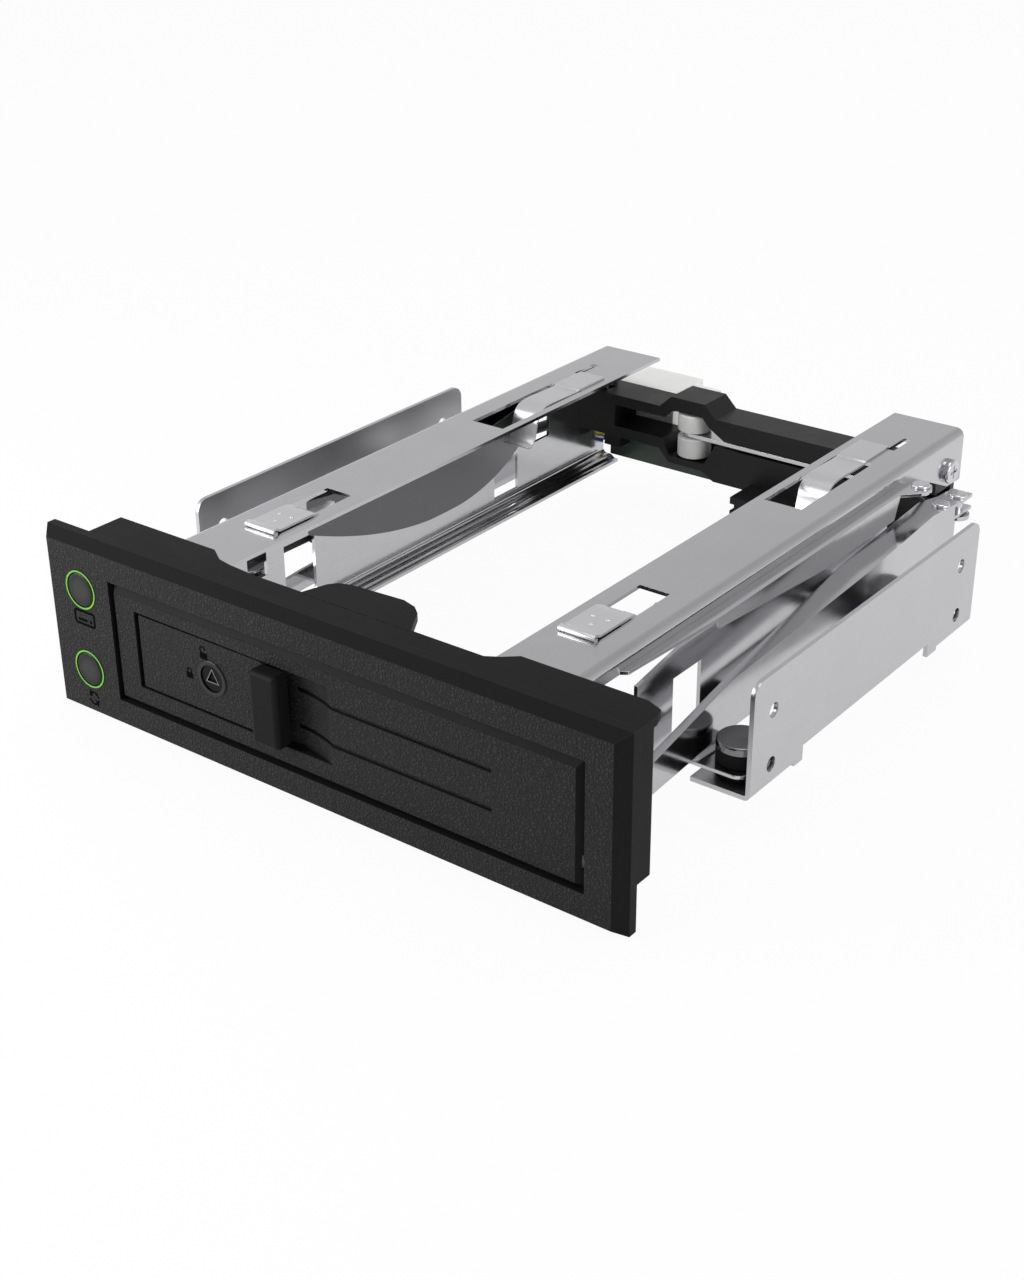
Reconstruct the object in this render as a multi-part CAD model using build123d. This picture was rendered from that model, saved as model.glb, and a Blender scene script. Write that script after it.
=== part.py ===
from build123d import *
import math
import os

# Open cage that takes a bare 3.5 inch drive in a 5.25 inch bay.
# X runs across the front, Y runs from the front to the rear and Z is up. The builders below
# count Y from the front face, and write_parts moves the finished pieces to the middle of the depth.

# The drive and its room
DRIVE_WIDTH = 101.6
DRIVE_LENGTH = 147.0
DRIVE_HEIGHT = 26.1
DRIVE_SIDE_GAP = 0.3
DRIVE_FRONT = 7.5
CONNECTOR_ROOM = 7.0

# Sheet steel
SHEET = 0.8
BRACKET_SHEET = 1.0
SPRING_SHEET = 0.6
BOW_SHEET = 0.42
BEND = 1.6
SMALL_BEND = 0.9

# Rails
LEDGE_TOP = 7.8
TOP_GAP = 3.9
FLANGE_WIDTH = 18.2
LEDGE_WIDTH = 2.5
LIP_DROP = 0.9
LIP_WIDTH = 2.3
RAIL_FRONT = 7.0
RAIL_OVERHANG = 1.1
LINK_CUT_REAR = 36.0

# Windows through the webs: front, rear, low and high, the heights counted from the ledge
AIR_WINDOW = (48.5, 58.5, 3.2, 17.2)
PLUG_WINDOW = (37.0, 43.0, 12.6, 19.0)
REAR_WINDOW = (124.6, 134.3, 2.4, 19.0)
TIE_WINDOW = (141.2, 147.8, 12.5, 18.2)

# Bay brackets
BAY_WIDTH = 146.1
HOLE_PITCH_Y = 79.25
HOLE_PITCH_Z = 11.84
BAY_HOLE_RADIUS = 1.6
FRONT_HOLE_Y = 50.8
LOWER_HOLE_Z = 12.3
BRACKET_MARGIN_FRONT = 7.4
BRACKET_MARGIN_REAR = 7.9
BRACKET_TOP = 32.3
BRACKET_BOTTOM = 7.3
FOOT_PLATE_LENGTH = 19.9
FOOT_LENGTH = 16.6
FOOT_REACH = 13.4
SKIRT_RISE = 3.3
CORNER = 3.0

# Bezel
BEZEL_WIDTH = 147.0
BEZEL_HEIGHT = 41.6
BEZEL_DEPTH = 4.65
BEVEL_DEPTH = 2.6
SIDE_BEVEL = 2.3
TOP_BEVEL = 1.75
WALL = 1.8
ROOF = 1.7
ROOF_REAR = 12.6
SHOULDER_REAR = 16.6
TONGUE_REAR = 21.7
TONGUE_LEFT = -11.3
TONGUE_RIGHT = 16.5
BODY_LEFT = 66.8
BODY_RIGHT = 71.5
SEAM_WIDTH = 0.25
SEAM_DEPTH = 0.2
SEAM_SET = 0.3
OPENING_LEFT = 53.6
OPENING_RIGHT = 65.4
OPENING_GAP = 0.6
FLOOR = 2.2

# Door
DOOR_SET_BACK = 0.5
DOOR_THICK = 3.0
DOOR_BEVEL = 1.0
DOOR_LEFT_GAP = 0.5
DOOR_RIGHT_GAP = 0.8
DOOR_BEVEL_LEFT = 0.5
DOOR_BEVEL_RIGHT = 1.5
DOOR_BEVEL_TOP = 1.8
DOOR_BEVEL_LOW = 0.6
HINGE_X = 60.0
HINGE_Y = 4.0
PIN_RADIUS = 1.0
PIN_SEAT = 2.0
RUN_GAP = 0.05
BARREL_RADIUS = 2.2
CAM_HUB = 1.8
BACK_THICK = 2.0
BACK_MARGIN = 1.5
PAD_THICK = 1.5
PAD_WIDTH = 20.0
PAD_HEIGHT = 14.0
PAD_CENTRE = 30.0
GROOVE_WIDTH = 0.8
GROOVE_DEPTH = 0.6
GROOVE_PITCH = 8.2
GROOVE_END = 44.5
SCOOP_END = 6.2

# Latch and lock
LATCH_LEFT = -46.0
LATCH_HEIGHT = 16.2
LATCH_MIDDLE = 20.8
LATCH_THICK = 1.7
LATCH_GAP = 1.0
LATCH_TRAVEL = 6.0
LATCH_FLOOR = 0.9
RIDGE_LEFT = -12.0
RIDGE_WIDTH = 7.2
RIDGE_ROOT = 1.4
RIDGE_RISE = 3.5
RIDGE_ROUND = 1.1
BOLT_THICK = 1.2
BOLT_HEIGHT = 7.0
BOLT_THROW = 1.1
BOLT_LENGTH = 18.2
STEM_LENGTH = 3.8
STEM_HALF = 2.3
STEM_SET = 2.5
LOCK_X = -25.8
LOCK_RING_RADIUS = 3.9
LOCK_RADIUS = 2.9
LOCK_CAM_THICK = 0.7
LOCK_CAM_REACH = 4.5
LOCK_CAM_WIDTH = 2.4
LOCK_CAM_GAP = 0.3
ARROW_RADIUS = 2.0
ARROW_DEPTH = 0.45
SLIDE_GAP = 0.2

# Buttons
BUTTON_X = -62.2
BUTTON_LOW_Z = 11.7
BUTTON_HIGH_Z = 30.2
RING_RADIUS = 4.4
RING_WIDTH = 0.55
RING_STAND = 0.12
BUTTON_GAP = 0.1
BUTTON_DOME = 0.7
BUTTON_DEPTH = 5.6
BUTTON_RIM = 0.65
BUTTON_TRAVEL = 1.0
STEM_RADIUS = 1.4
SWITCH_SIZE = 5.0
SWITCH_HEIGHT = 1.8
BOARD = 1.6

# Link, arm and roller
CAM_OFFSET = 1.6
CAM_RADIUS = 3.0
CAM_LOW = 11.2
CAM_HEIGHT = 3.0
CAM_GAP = 0.15
DOOR_SKIN = 0.7
DOOR_ANGLE = 95.0
LINK_TOP = 28.0
LINK_OUTER = 62.1
LINK_INNER = 55.5
TONGUE_THICK = 1.2
RIVET_RADIUS = 1.3
RIVET_HEAD = 2.1
HEAD_HEIGHT = 0.8
ARM_PIN_X = 59.0
ARM_PIN_Y = 156.6
ARM_THICK = 1.0
ARM_LOW = 22.9
ARM_HALF = 3.0
PIVOT_X = 46.0
PIVOT_RADIUS = 1.5
PIVOT_BOSS = 3.8
ROLLER_X = -17.8
ROLLER_RADIUS = 4.3
ROLLER_SET = 3.8
ROLLER_TOP = 28.8
ROLLER_BOTTOM = 17.4
ROLLER_GAP = 0.3
AXLE_RADIUS = 1.2
AXLE_END = 0.2

# Rear bar and what it carries
BAR_DEPTH = 10.0
BAR_TOP = 29.7
BAR_HUMP = 3.2
BAR_LEFT_LOW = 18.3
BAR_MID_LOW = 15.0
BAR_RIGHT_LOW = 12.9
BAR_EAR = 5.1
BAR_EAR_TOP = 33.5
BAR_SCREW_Z = 29.5
SLOT_GAP = 0.5
SLOT_WALL = 2.0
BOARD_TOP = 20.5
BOARD_HALF = 48.0
CONNECTOR_LEFT = 1.0
CONNECTOR_WIDTH = 44.0
CONNECTOR_BOTTOM = 8.5
CONNECTOR_TOP = 14.5
CONNECTOR_ENTRY = 2.0
CONTACT_PITCH = 1.27
POWER_LEFT = -48.0
POWER_WIDTH = 19.5
POWER_BOTTOM = 18.5
POWER_TOP = 29.3
POWER_DEPTH = 12.7
POWER_WALL = 1.4
POWER_PITCH = 4.37
POWER_PIN_RADIUS = 1.05
DATA_LEFT = 5.0
DATA_WIDTH = 14.0
DATA_BOTTOM = 9.0
DATA_HEIGHT = 7.0
DATA_DEPTH = 8.0
DATA_CONTACTS = 7
DATA_PITCH = 1.15

# Carriers and dampers
DAMPER_SIDE_GAP = 0.75
DAMPER_RADIUS = 5.0
DAMPER_NECK = 2.6
DAMPER_PIN = 1.5
LOWER_RUBBER = 2.0
UPPER_RUBBER = 3.0
CAP_HEIGHT = 1.8
EAR_HALF = 6.5
EAR_END = 4.3

# Bowed spring along the left rail
BOW_FRONT = 58.0
BOW_REAR = 138.0
BOW_LOWEST = 92.0
BOW_APEX = 96.0
BOW_REACH = 6.1
BOW_TOE = 1.5

# Lead along the left rail
SLEEVE_RADIUS = 1.4
WIRE_RADIUS = 0.6
WIRE_SPACING = 0.15
PLUG_WIDTH = 3.4
PLUG_DEPTH = 3.4
PLUG_HALF = 2.4
REAR_PLUG_WIDTH = 4.6
CLIP_HALF = 2.3
CLIP_REACH = 4.6
CLIP_LENGTH = 5.0

# Worked out from the sizes above
RAIL_IN = DRIVE_WIDTH / 2 + DRIVE_SIDE_GAP
RAIL_OUT = RAIL_IN + SHEET
DRIVE_TOP = LEDGE_TOP + DRIVE_HEIGHT
FLANGE_TOP = DRIVE_TOP + TOP_GAP
DRIVE_REAR = DRIVE_FRONT + DRIVE_LENGTH
BAR_FRONT = DRIVE_REAR + CONNECTOR_ROOM
BAR_REAR = BAR_FRONT + BAR_DEPTH
RAIL_REAR = BAR_REAR + RAIL_OVERHANG
HALF_BAY = BAY_WIDTH / 2
REAR_HOLE_Y = FRONT_HOLE_Y + HOLE_PITCH_Y
UPPER_HOLE_Z = LOWER_HOLE_Z + HOLE_PITCH_Z
BRACKET_FRONT = FRONT_HOLE_Y - BRACKET_MARGIN_FRONT
BRACKET_REAR = REAR_HOLE_Y + BRACKET_MARGIN_REAR
FOOT_TOP = BRACKET_BOTTOM + BRACKET_SHEET
OPENING_LOW = LEDGE_TOP - OPENING_GAP
OPENING_HIGH = DRIVE_TOP + OPENING_GAP
DOOR_FRONT = DOOR_SET_BACK
DOOR_REAR = DOOR_FRONT + DOOR_THICK
BACK_REAR = DOOR_REAR + BACK_THICK
LATCH_POCKET = DOOR_REAR - LATCH_FLOOR
LATCH_REAR = LATCH_POCKET - SLIDE_GAP
LATCH_FRONT = LATCH_REAR - LATCH_THICK
LATCH_RIGHT = RIDGE_LEFT + RIDGE_ROOT
RIDGE_RIGHT = RIDGE_LEFT + RIDGE_WIDTH
RIDGE_REAR = DOOR_FRONT - BUTTON_GAP
RIDGE_FRONT = RIDGE_REAR - RIDGE_RISE
POCKET_RIGHT = LATCH_RIGHT + LATCH_TRAVEL + SLIDE_GAP
STEM_LEFT = LATCH_LEFT + STEM_SET
BOLT_FRONT = DOOR_REAR + SLIDE_GAP / 2
BOLT_LEFT = -OPENING_LEFT - BOLT_THROW
ROLLER_Y = BAR_FRONT + ROLLER_SET
PIVOT_Y = ROLLER_Y - 0.3
DAMPER_X = HALF_BAY - BRACKET_SHEET - DAMPER_SIDE_GAP - DAMPER_RADIUS
CARRIER_X = (RAIL_OUT + SHEET + DAMPER_X - DAMPER_RADIUS) / 2
DAMPER_FRONT_Y = BRACKET_FRONT + EAR_HALF + 1.1
DAMPER_REAR_Y = BRACKET_REAR - EAR_HALF - 2.4
EAR_LOW = FOOT_TOP + LOWER_RUBBER
EAR_HIGH = EAR_LOW + SHEET
CAP_LOW = EAR_HIGH + UPPER_RUBBER
FRONT_BOARD_Y = ROOF_REAR - BOARD - 0.4
REAR_BOARD_Y = BAR_REAR
REAR_FACE_Y = REAR_BOARD_Y + BOARD
BOARD_BOTTOM = LEDGE_TOP + OPENING_GAP
TONGUE_LOW = CAM_LOW + (CAM_HEIGHT - TONGUE_THICK) / 2
POWER_REAR = REAR_FACE_Y + POWER_DEPTH
CENTRE_Y = (RIDGE_FRONT + POWER_REAR) / 2
BEZEL_SCREW_X = RAIL_OUT - 7.9
BEZEL_SCREW_Y = ROOF_REAR - 2.2
FLANGE_EDGE = RAIL_OUT - FLANGE_WIDTH
BAR_SCREW_Y = BAR_FRONT + 4.2
CLIP_WINDOW = (FLANGE_EDGE + 4.2, FLANGE_EDGE + 11.3, 45.0, 57.2)
TAB_WINDOW = (FLANGE_EDGE + 2.0, FLANGE_EDGE + 11.2, 108.5, 140.5)
GUARD_RIVET_X = RAIL_OUT + 4.4
GUARD_RIVET_Y = ARM_PIN_Y - 14.5
GUARD_TOP = FLANGE_TOP - 3.2
SWITCH_TOP = FRONT_BOARD_Y - SWITCH_HEIGHT - 0.3
LEAD_X = -(RAIL_OUT + 2.2)
LEAD_Z = LEDGE_TOP + 15.7
PLUG_X = -BOARD_HALF + 2.0
FRONT_BOARD_RIGHT = -OPENING_LEFT - WALL - 0.4
FRONT_PLUG_X = FRONT_BOARD_RIGHT - PLUG_WIDTH / 2
FRONT_PLUG_Z = LEDGE_TOP + 13.2
REAR_PLUG_Z = BAR_RIGHT_LOW - 2.6
WIRE_END = 0.4


def block(x0, x1, y0, y1, z0, z1):
    """Box between two corners."""
    size = Box(x1 - x0, y1 - y0, z1 - z0, align=(Align.MIN, Align.MIN, Align.MIN))
    return Pos(x0, y0, z0) * size


def upright(x, y, radius, z0, z1):
    """Round bar along Z."""
    return Pos(x, y, z0) * Cylinder(radius, z1 - z0, align=(Align.CENTER, Align.CENTER, Align.MIN))


def along_y(x, z, radius, y0, y1):
    """Round bar along Y."""
    turned = Rot(-90, 0, 0) * Cylinder(radius, y1 - y0, align=(Align.CENTER, Align.CENTER, Align.MIN))
    return Pos(x, y0, z) * turned


def along_x(y, z, radius, x0, x1):
    """Round bar along X."""
    turned = Rot(0, 90, 0) * Cylinder(radius, x1 - x0, align=(Align.CENTER, Align.CENTER, Align.MIN))
    return Pos(x0, y, z) * turned


def outline(points):
    """Closed straight-edged outline."""
    return make_face(Polyline(*points, close=True))


def flat_plate(points, z0, z1):
    """Plate with its outline in X and Y."""
    return extrude(Plane.XY.offset(z0) * outline(points), z1 - z0)


def side_plate(points, x0, x1):
    """Plate with its outline in Y and Z."""
    return extrude(Plane.YZ.offset(x0) * outline(points), x1 - x0)


def front_plate(points, y0, y1):
    """Plate with its outline in X and Z."""
    return extrude(Plane.XZ.offset(-y1) * outline(points), y1 - y0)


def mirror_x(shape):
    """The same piece on the other side of the middle."""
    return mirror(shape, about=Plane.YZ)


def folded(points, bend, thick):
    """Section of a folded sheet: its middle line moved half the sheet to each side.

    bend is the radius of the middle line in each fold.
    """
    middle = [Vector(*point) for point in points]
    last = len(middle) - 1
    runs = [(middle[i + 1] - middle[i]).normalized() for i in range(last)]
    sides = []
    for side in (1, -1):
        line = []
        radii = []
        for i, here in enumerate(middle):
            before = runs[max(i - 1, 0)]
            after = runs[min(i, last - 1)]
            normals = Vector(-before.Y - after.Y, before.X + after.X)
            line.append(here + normals * (side * thick / 2 / (1 + before.dot(after))))
            turn = before.X * after.Y - before.Y * after.X
            if 0 < i < last:
                radii.append(bend - side * math.copysign(thick / 2, turn))
        sides.append(FilletPolyline(*line, radius=radii) if radii else Line(line[0], line[1]))
    ends = [Line(sides[0] @ 0, sides[1] @ 0), Line(sides[0] @ 1, sides[1] @ 1)]
    return make_face([sides[0], sides[1]] + ends)


def folded_along_y(points, bend, thick, y0, y1):
    """Folded sheet with its section in X and Z."""
    return extrude(Plane.XZ.offset(-y1) * folded(points, bend, thick), y1 - y0)


def folded_along_x(points, bend, thick, x0, x1):
    """Folded sheet with its section in Y and Z."""
    return extrude(Plane.YZ.offset(x0) * folded(points, bend, thick), x1 - x0)


def round_uprights(shape, radius, test):
    """Round the edges along Z that pass the test."""
    edges = shape.edges().filter_by(Axis.Z).filter_by(test)
    return fillet(edges, radius)


def screw(radius, length, head_radius, head_height):
    """Cross-head screw along +Z from its seat at the origin, with its head below."""
    head = upright(0, 0, head_radius, -head_height, 0)
    head = fillet(head.edges().group_by(Axis.Z)[0], head_height * 0.45)
    shank = upright(0, 0, radius, 0, length)
    arm_long = head_radius * 1.15
    arm_wide = head_radius * 0.26
    recess = Box(arm_long, arm_wide, head_height) + Box(arm_wide, arm_long, head_height)
    return head + shank - Pos(0, 0, -head_height) * recess


def bezel_frame():
    """Front frame: bevelled flange, hollow body with a stepped roof, door opening and bosses."""
    half = BEZEL_WIDTH / 2
    top = BEZEL_HEIGHT
    face = Plane.XZ * Pos(0, top / 2) * Rectangle(BEZEL_WIDTH - 2 * SIDE_BEVEL, top - 2 * TOP_BEVEL)
    rim = Plane.XZ.offset(-BEVEL_DEPTH) * Pos(0, top / 2) * Rectangle(BEZEL_WIDTH, top)
    flange = loft([face, rim]) + block(-half, half, BEVEL_DEPTH, BEZEL_DEPTH, 0, top)
    floor_low = OPENING_LOW - FLOOR
    roof_top = FLANGE_TOP + ROOF
    shell = block(-BODY_LEFT, BODY_RIGHT, BEZEL_DEPTH, ROOF_REAR, floor_low, roof_top)
    shell -= block(-BODY_LEFT + WALL, BODY_RIGHT - WALL, BEZEL_DEPTH, ROOF_REAR, OPENING_LOW, FLANGE_TOP)
    shell -= block(OPENING_RIGHT + WALL, BODY_RIGHT, BEZEL_DEPTH, ROOF_REAR, floor_low, LEDGE_TOP - 0.3)
    shell -= block(-BODY_LEFT, -OPENING_LEFT - 2 * WALL, BEZEL_DEPTH, ROOF_REAR, floor_low, LEDGE_TOP - 0.3)
    rear_right = (BODY_RIGHT - 0.1, ROOF_REAR - 0.1)
    shell = round_uprights(shell, 1.2, lambda e: e.center().X > rear_right[0]
                           and e.center().Y > rear_right[1])
    shell += block(-OPENING_LEFT - WALL, -OPENING_LEFT, BEZEL_DEPTH, ROOF_REAR, OPENING_LOW, OPENING_HIGH)
    shell += block(OPENING_RIGHT, OPENING_RIGHT + WALL, BEZEL_DEPTH, ROOF_REAR, floor_low, OPENING_HIGH)
    roof = flat_plate(roof_outline(), FLANGE_TOP, roof_top)
    shell += roof
    frame = flange + shell
    frame -= block(-OPENING_LEFT, OPENING_RIGHT, -1, BEZEL_DEPTH, OPENING_LOW, OPENING_HIGH)
    frame += block(HINGE_X - 2.6, HINGE_X + 2.6, BEZEL_DEPTH, HINGE_Y + 2.6, OPENING_HIGH, FLANGE_TOP)
    frame += block(-BODY_LEFT, -BODY_LEFT + WALL, ROOF_REAR, SHOULDER_REAR, LEDGE_TOP, FLANGE_TOP)
    frame -= upright(HINGE_X, HINGE_Y, PIN_RADIUS, OPENING_LOW - PIN_SEAT, OPENING_HIGH + PIN_SEAT)
    keeper_gap = SLIDE_GAP * 2
    low = LATCH_MIDDLE - BOLT_HEIGHT / 2 - keeper_gap
    high = LATCH_MIDDLE + BOLT_HEIGHT / 2 + keeper_gap
    frame -= block(BOLT_LEFT - keeper_gap, -OPENING_LEFT, BOLT_FRONT - keeper_gap,
                   BOLT_FRONT + BOLT_THICK + keeper_gap, low, high)
    for height in (BUTTON_LOW_Z, BUTTON_HIGH_Z):
        frame -= along_y(BUTTON_X, height, RING_RADIUS + 0.02, -1, BEZEL_DEPTH)
    for height in (BUTTON_LOW_Z + RING_RADIUS + 1.3, BUTTON_HIGH_Z - RING_RADIUS - 1.3):
        frame += along_y(BUTTON_X, height, 1.2, BEZEL_DEPTH, FRONT_BOARD_Y)
    for side in (-1, 1):
        frame -= upright(side * BEZEL_SCREW_X, BEZEL_SCREW_Y, 1.0, FLANGE_TOP, FLANGE_TOP + ROOF - 0.5)
    seam_rear = ROOF_REAR - SEAM_SET
    seam_low = roof_top - SEAM_DEPTH
    frame -= block(TONGUE_LEFT, TONGUE_RIGHT, seam_rear - SEAM_WIDTH, seam_rear, seam_low, roof_top + 1)
    return frame


def roof_outline():
    """Plan of the roof: two shoulders over the rails and a rounded tongue between them."""
    y0 = BEZEL_DEPTH
    step = SHOULDER_REAR
    return [
        (-BODY_LEFT, y0), (-BODY_LEFT, step), (-39.0, step), (-34.9, ROOF_REAR + 1.3),
        (-31.3, ROOF_REAR + 0.6), (-24.0, ROOF_REAR), (TONGUE_LEFT, ROOF_REAR),
        (-9.6, TONGUE_REAR - 3.6), (-8.1, TONGUE_REAR - 1.8),
        (-5.4, TONGUE_REAR - 0.9), (7.1, TONGUE_REAR), (10.6, TONGUE_REAR - 1.0), (12.8, TONGUE_REAR - 2.8),
        (TONGUE_RIGHT, ROOF_REAR), (33.7, ROOF_REAR), (36.4, ROOF_REAR + 1.6), (39.2, step),
        (BODY_RIGHT - 4.5, step), (BODY_RIGHT - 0.8, step - 1.5), (BODY_RIGHT, ROOF_REAR), (BODY_RIGHT, y0),
    ]


def rail_section():
    """Middle line of a rail from its inner flange edge, round the web, to the ledge's lip."""
    half = SHEET / 2
    web = RAIL_IN + half
    edge = RAIL_OUT - FLANGE_WIDTH
    ledge = LEDGE_TOP - half
    inner = RAIL_IN - LEDGE_WIDTH
    return [
        (edge, FLANGE_TOP - half), (web, FLANGE_TOP - half), (web, ledge), (inner, ledge),
        (inner - 0.9, ledge - LIP_DROP), (inner - LIP_WIDTH, ledge - LIP_DROP),
    ]


def full_rail():
    """Folded rail of the right side, before its windows."""
    rail = folded_along_y(rail_section(), BEND, SHEET, RAIL_FRONT, RAIL_REAR)
    inner = RAIL_IN - LEDGE_WIDTH - LIP_WIDTH
    above = FLANGE_TOP + 1
    rail -= block(inner - 1, RAIL_OUT + 1, RAIL_FRONT, ROOF_REAR + 1.5, 0, LEDGE_TOP + 0.4)
    rail -= block(FLANGE_EDGE - 1, FLANGE_EDGE + 1.6, RAIL_FRONT, ROOF_REAR - 0.6, LEDGE_TOP + 5, above)
    rail -= upright(BEZEL_SCREW_X, BEZEL_SCREW_Y, 1.2, FLANGE_TOP - SHEET - 1, FLANGE_TOP + 1)
    rail -= along_x(BAR_SCREW_Y, BAR_SCREW_Z, 1.6, RAIL_IN - 1, RAIL_OUT + 1)
    return rail


def cut_window(rail, window):
    """Cut a window right through the top flange."""
    x0, x1, y0, y1 = window
    return rail - block(x0, x1, y0, y1, FLANGE_TOP - SHEET - 1, FLANGE_TOP + 1)


def cut_web(rail, window):
    """Cut a window right through the web."""
    y0, y1, low, high = window
    return rail - block(RAIL_IN - 0.1, RAIL_OUT + 1, y0, y1, LEDGE_TOP + low, LEDGE_TOP + high)


def with_flange_windows(rail):
    """Windows for the two hold-down springs, and the small slot at the rear."""
    rail = cut_window(rail, CLIP_WINDOW)
    rail = cut_window(rail, TAB_WINDOW)
    slot_front = TAB_WINDOW[3] + 9.9
    return cut_window(rail, (FLANGE_EDGE + 9.6, FLANGE_EDGE + 11.3, slot_front, slot_front + 8.3))


def left_rail():
    """Left rail: full web with four windows."""
    rail = with_flange_windows(full_rail())
    for window in (AIR_WINDOW, PLUG_WINDOW, REAR_WINDOW, TIE_WINDOW):
        rail = cut_web(rail, window)
    return mirror_x(rail)


def right_rail():
    """Right rail: the web is open at the front, slotted along the link and cut out for the arm."""
    rail = with_flange_windows(full_rail())
    rail = cut_web(rail, AIR_WINDOW)
    x0 = RAIL_IN - LEDGE_WIDTH - LIP_WIDTH - 2
    x1 = RAIL_OUT + 1
    top = FLANGE_TOP - TOP_GAP
    rail -= block(x0, x1, RAIL_FRONT - 1, LINK_CUT_REAR, 0, top)
    start = LINK_CUT_REAR - 1.0
    end = GUARD_RIVET_Y - 45.0
    slot = [
        (start, top - 5.4), (start + 15.0, top - 2.9), (end - 1.5, top - 2.9), (end, top - 1.4),
        (end, top), (start, top),
    ]
    rail -= side_plate(slot, RAIL_IN - 0.1, x1)
    floor = BAR_LEFT_LOW + 0.6
    low = ARM_LOW + 2.2
    cut = [
        (BAR_FRONT - 24.0, floor), (BAR_FRONT - 27.6, top + 0.6), (BAR_FRONT - 18.5, low + 7.6),
        (BAR_FRONT - 12.2, low + 7.2), (BAR_FRONT - 4.8, low + 4.4), (BAR_FRONT + 4.3, low + 0.4),
        (RAIL_REAR + 1, low), (RAIL_REAR + 1, floor),
    ]
    return rail - side_plate(cut, RAIL_IN - 0.1, x1)


def right_bay_bracket():
    """Outer plate with four bay holes and two inward feet."""
    x1 = HALF_BAY
    x0 = x1 - BRACKET_SHEET
    skirt = BRACKET_BOTTOM + SKIRT_RISE
    front_foot = BRACKET_FRONT + FOOT_PLATE_LENGTH
    rear_foot = BRACKET_REAR - FOOT_PLATE_LENGTH - 1.1
    low = FOOT_TOP + SMALL_BEND
    points = [
        (BRACKET_FRONT, low), (BRACKET_FRONT, BRACKET_TOP), (BRACKET_REAR, BRACKET_TOP), (BRACKET_REAR, low),
        (rear_foot, low), (rear_foot, skirt), (front_foot, skirt), (front_foot, low),
    ]
    plate = side_plate(points, x0, x1)
    tops = plate.edges().filter_by(Axis.X).filter_by(lambda e: e.center().Z > BRACKET_TOP - 0.1)
    plate = fillet(tops, CORNER)
    middle = BRACKET_SHEET / 2
    base = BRACKET_BOTTOM + middle
    foot = [(x1 - middle, low), (x1 - middle, base), (x1 - FOOT_REACH, base)]
    for y0, y1 in foot_spans():
        plate += folded_along_y(foot, SMALL_BEND, BRACKET_SHEET, y0, y1)
    plate += block(x0, x1, BRACKET_FRONT + FOOT_LENGTH, front_foot, BRACKET_BOTTOM, low)
    plate += block(x0, x1, rear_foot, BRACKET_REAR - FOOT_LENGTH, BRACKET_BOTTOM, low)
    for y in (FRONT_HOLE_Y, REAR_HOLE_Y):
        for z in (LOWER_HOLE_Z, UPPER_HOLE_Z):
            plate -= along_x(y, z, BAY_HOLE_RADIUS, x0 - 1, x1 + 1)
    for y in (DAMPER_FRONT_Y, DAMPER_REAR_Y):
        plate -= upright(DAMPER_X, y, DAMPER_PIN, BRACKET_BOTTOM - 1, FOOT_TOP + 1)
    return plate


def foot_spans():
    """Front and rear feet along Y."""
    return [(BRACKET_FRONT, BRACKET_FRONT + FOOT_LENGTH), (BRACKET_REAR - FOOT_LENGTH, BRACKET_REAR)]


def left_bay_bracket():
    """Mirror of the right bracket."""
    return mirror_x(right_bay_bracket())


def right_carrier():
    """Side strip that ties the rail to its two dampers."""
    x1 = CARRIER_X
    x0 = x1 - SHEET
    start = ROOF_REAR + 0.4
    step = DAMPER_FRONT_Y + 9.0
    end = BAR_FRONT - 11.5
    strip = side_plate([
        (start, EAR_LOW - 3.7), (start, EAR_LOW + 0.3), (step, EAR_LOW + 3.7), (end, EAR_LOW + 6.2),
        (end, EAR_LOW - 0.8), (step, EAR_LOW - 1.3),
    ], x0, x1)
    for y0, y1 in ((step + 2.0, step + 16.0), (DAMPER_REAR_Y - 29.2, DAMPER_REAR_Y - 13.2)):
        strip += block(RAIL_OUT, x0, y0, y1, EAR_LOW - 0.3, EAR_HIGH - 0.3)
    for y in (DAMPER_FRONT_Y, DAMPER_REAR_Y):
        ear = block(x1, DAMPER_X + EAR_END, y - EAR_HALF, y + EAR_HALF, EAR_LOW, EAR_HIGH)
        ear = round_uprights(ear, 2.5, lambda e: e.center().X > DAMPER_X)
        strip += ear
        strip -= upright(DAMPER_X, y, DAMPER_NECK + 0.02, EAR_LOW - 1, EAR_HIGH + 1)
    return strip


def left_carrier():
    """Mirror of the right carrier."""
    return mirror_x(right_carrier())


def four_dampers(builder):
    """One piece at each of the four dampers."""
    spots = [(side * DAMPER_X, y) for side in (-1, 1) for y in (DAMPER_FRONT_Y, DAMPER_REAR_Y)]
    return Compound(children=[Pos(x, y, 0) * builder() for x, y in spots])


def damper_rubber():
    """Rubber bush that grips the carrier's ear."""
    bush = upright(0, 0, DAMPER_RADIUS, FOOT_TOP, EAR_LOW)
    bush += upright(0, 0, DAMPER_NECK, EAR_LOW, EAR_HIGH)
    bush += upright(0, 0, DAMPER_RADIUS, EAR_HIGH, CAP_LOW)
    return bush - upright(0, 0, DAMPER_PIN + 0.02, FOOT_TOP, CAP_LOW)


def damper_cap():
    """Steel pin with a wide cap, riveted into the foot."""
    cap = upright(0, 0, DAMPER_RADIUS, CAP_LOW, CAP_LOW + CAP_HEIGHT)
    cap = fillet(cap.edges().group_by(Axis.Z)[-1], 0.5)
    return cap + upright(0, 0, DAMPER_PIN, BRACKET_BOTTOM, CAP_LOW)


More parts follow.
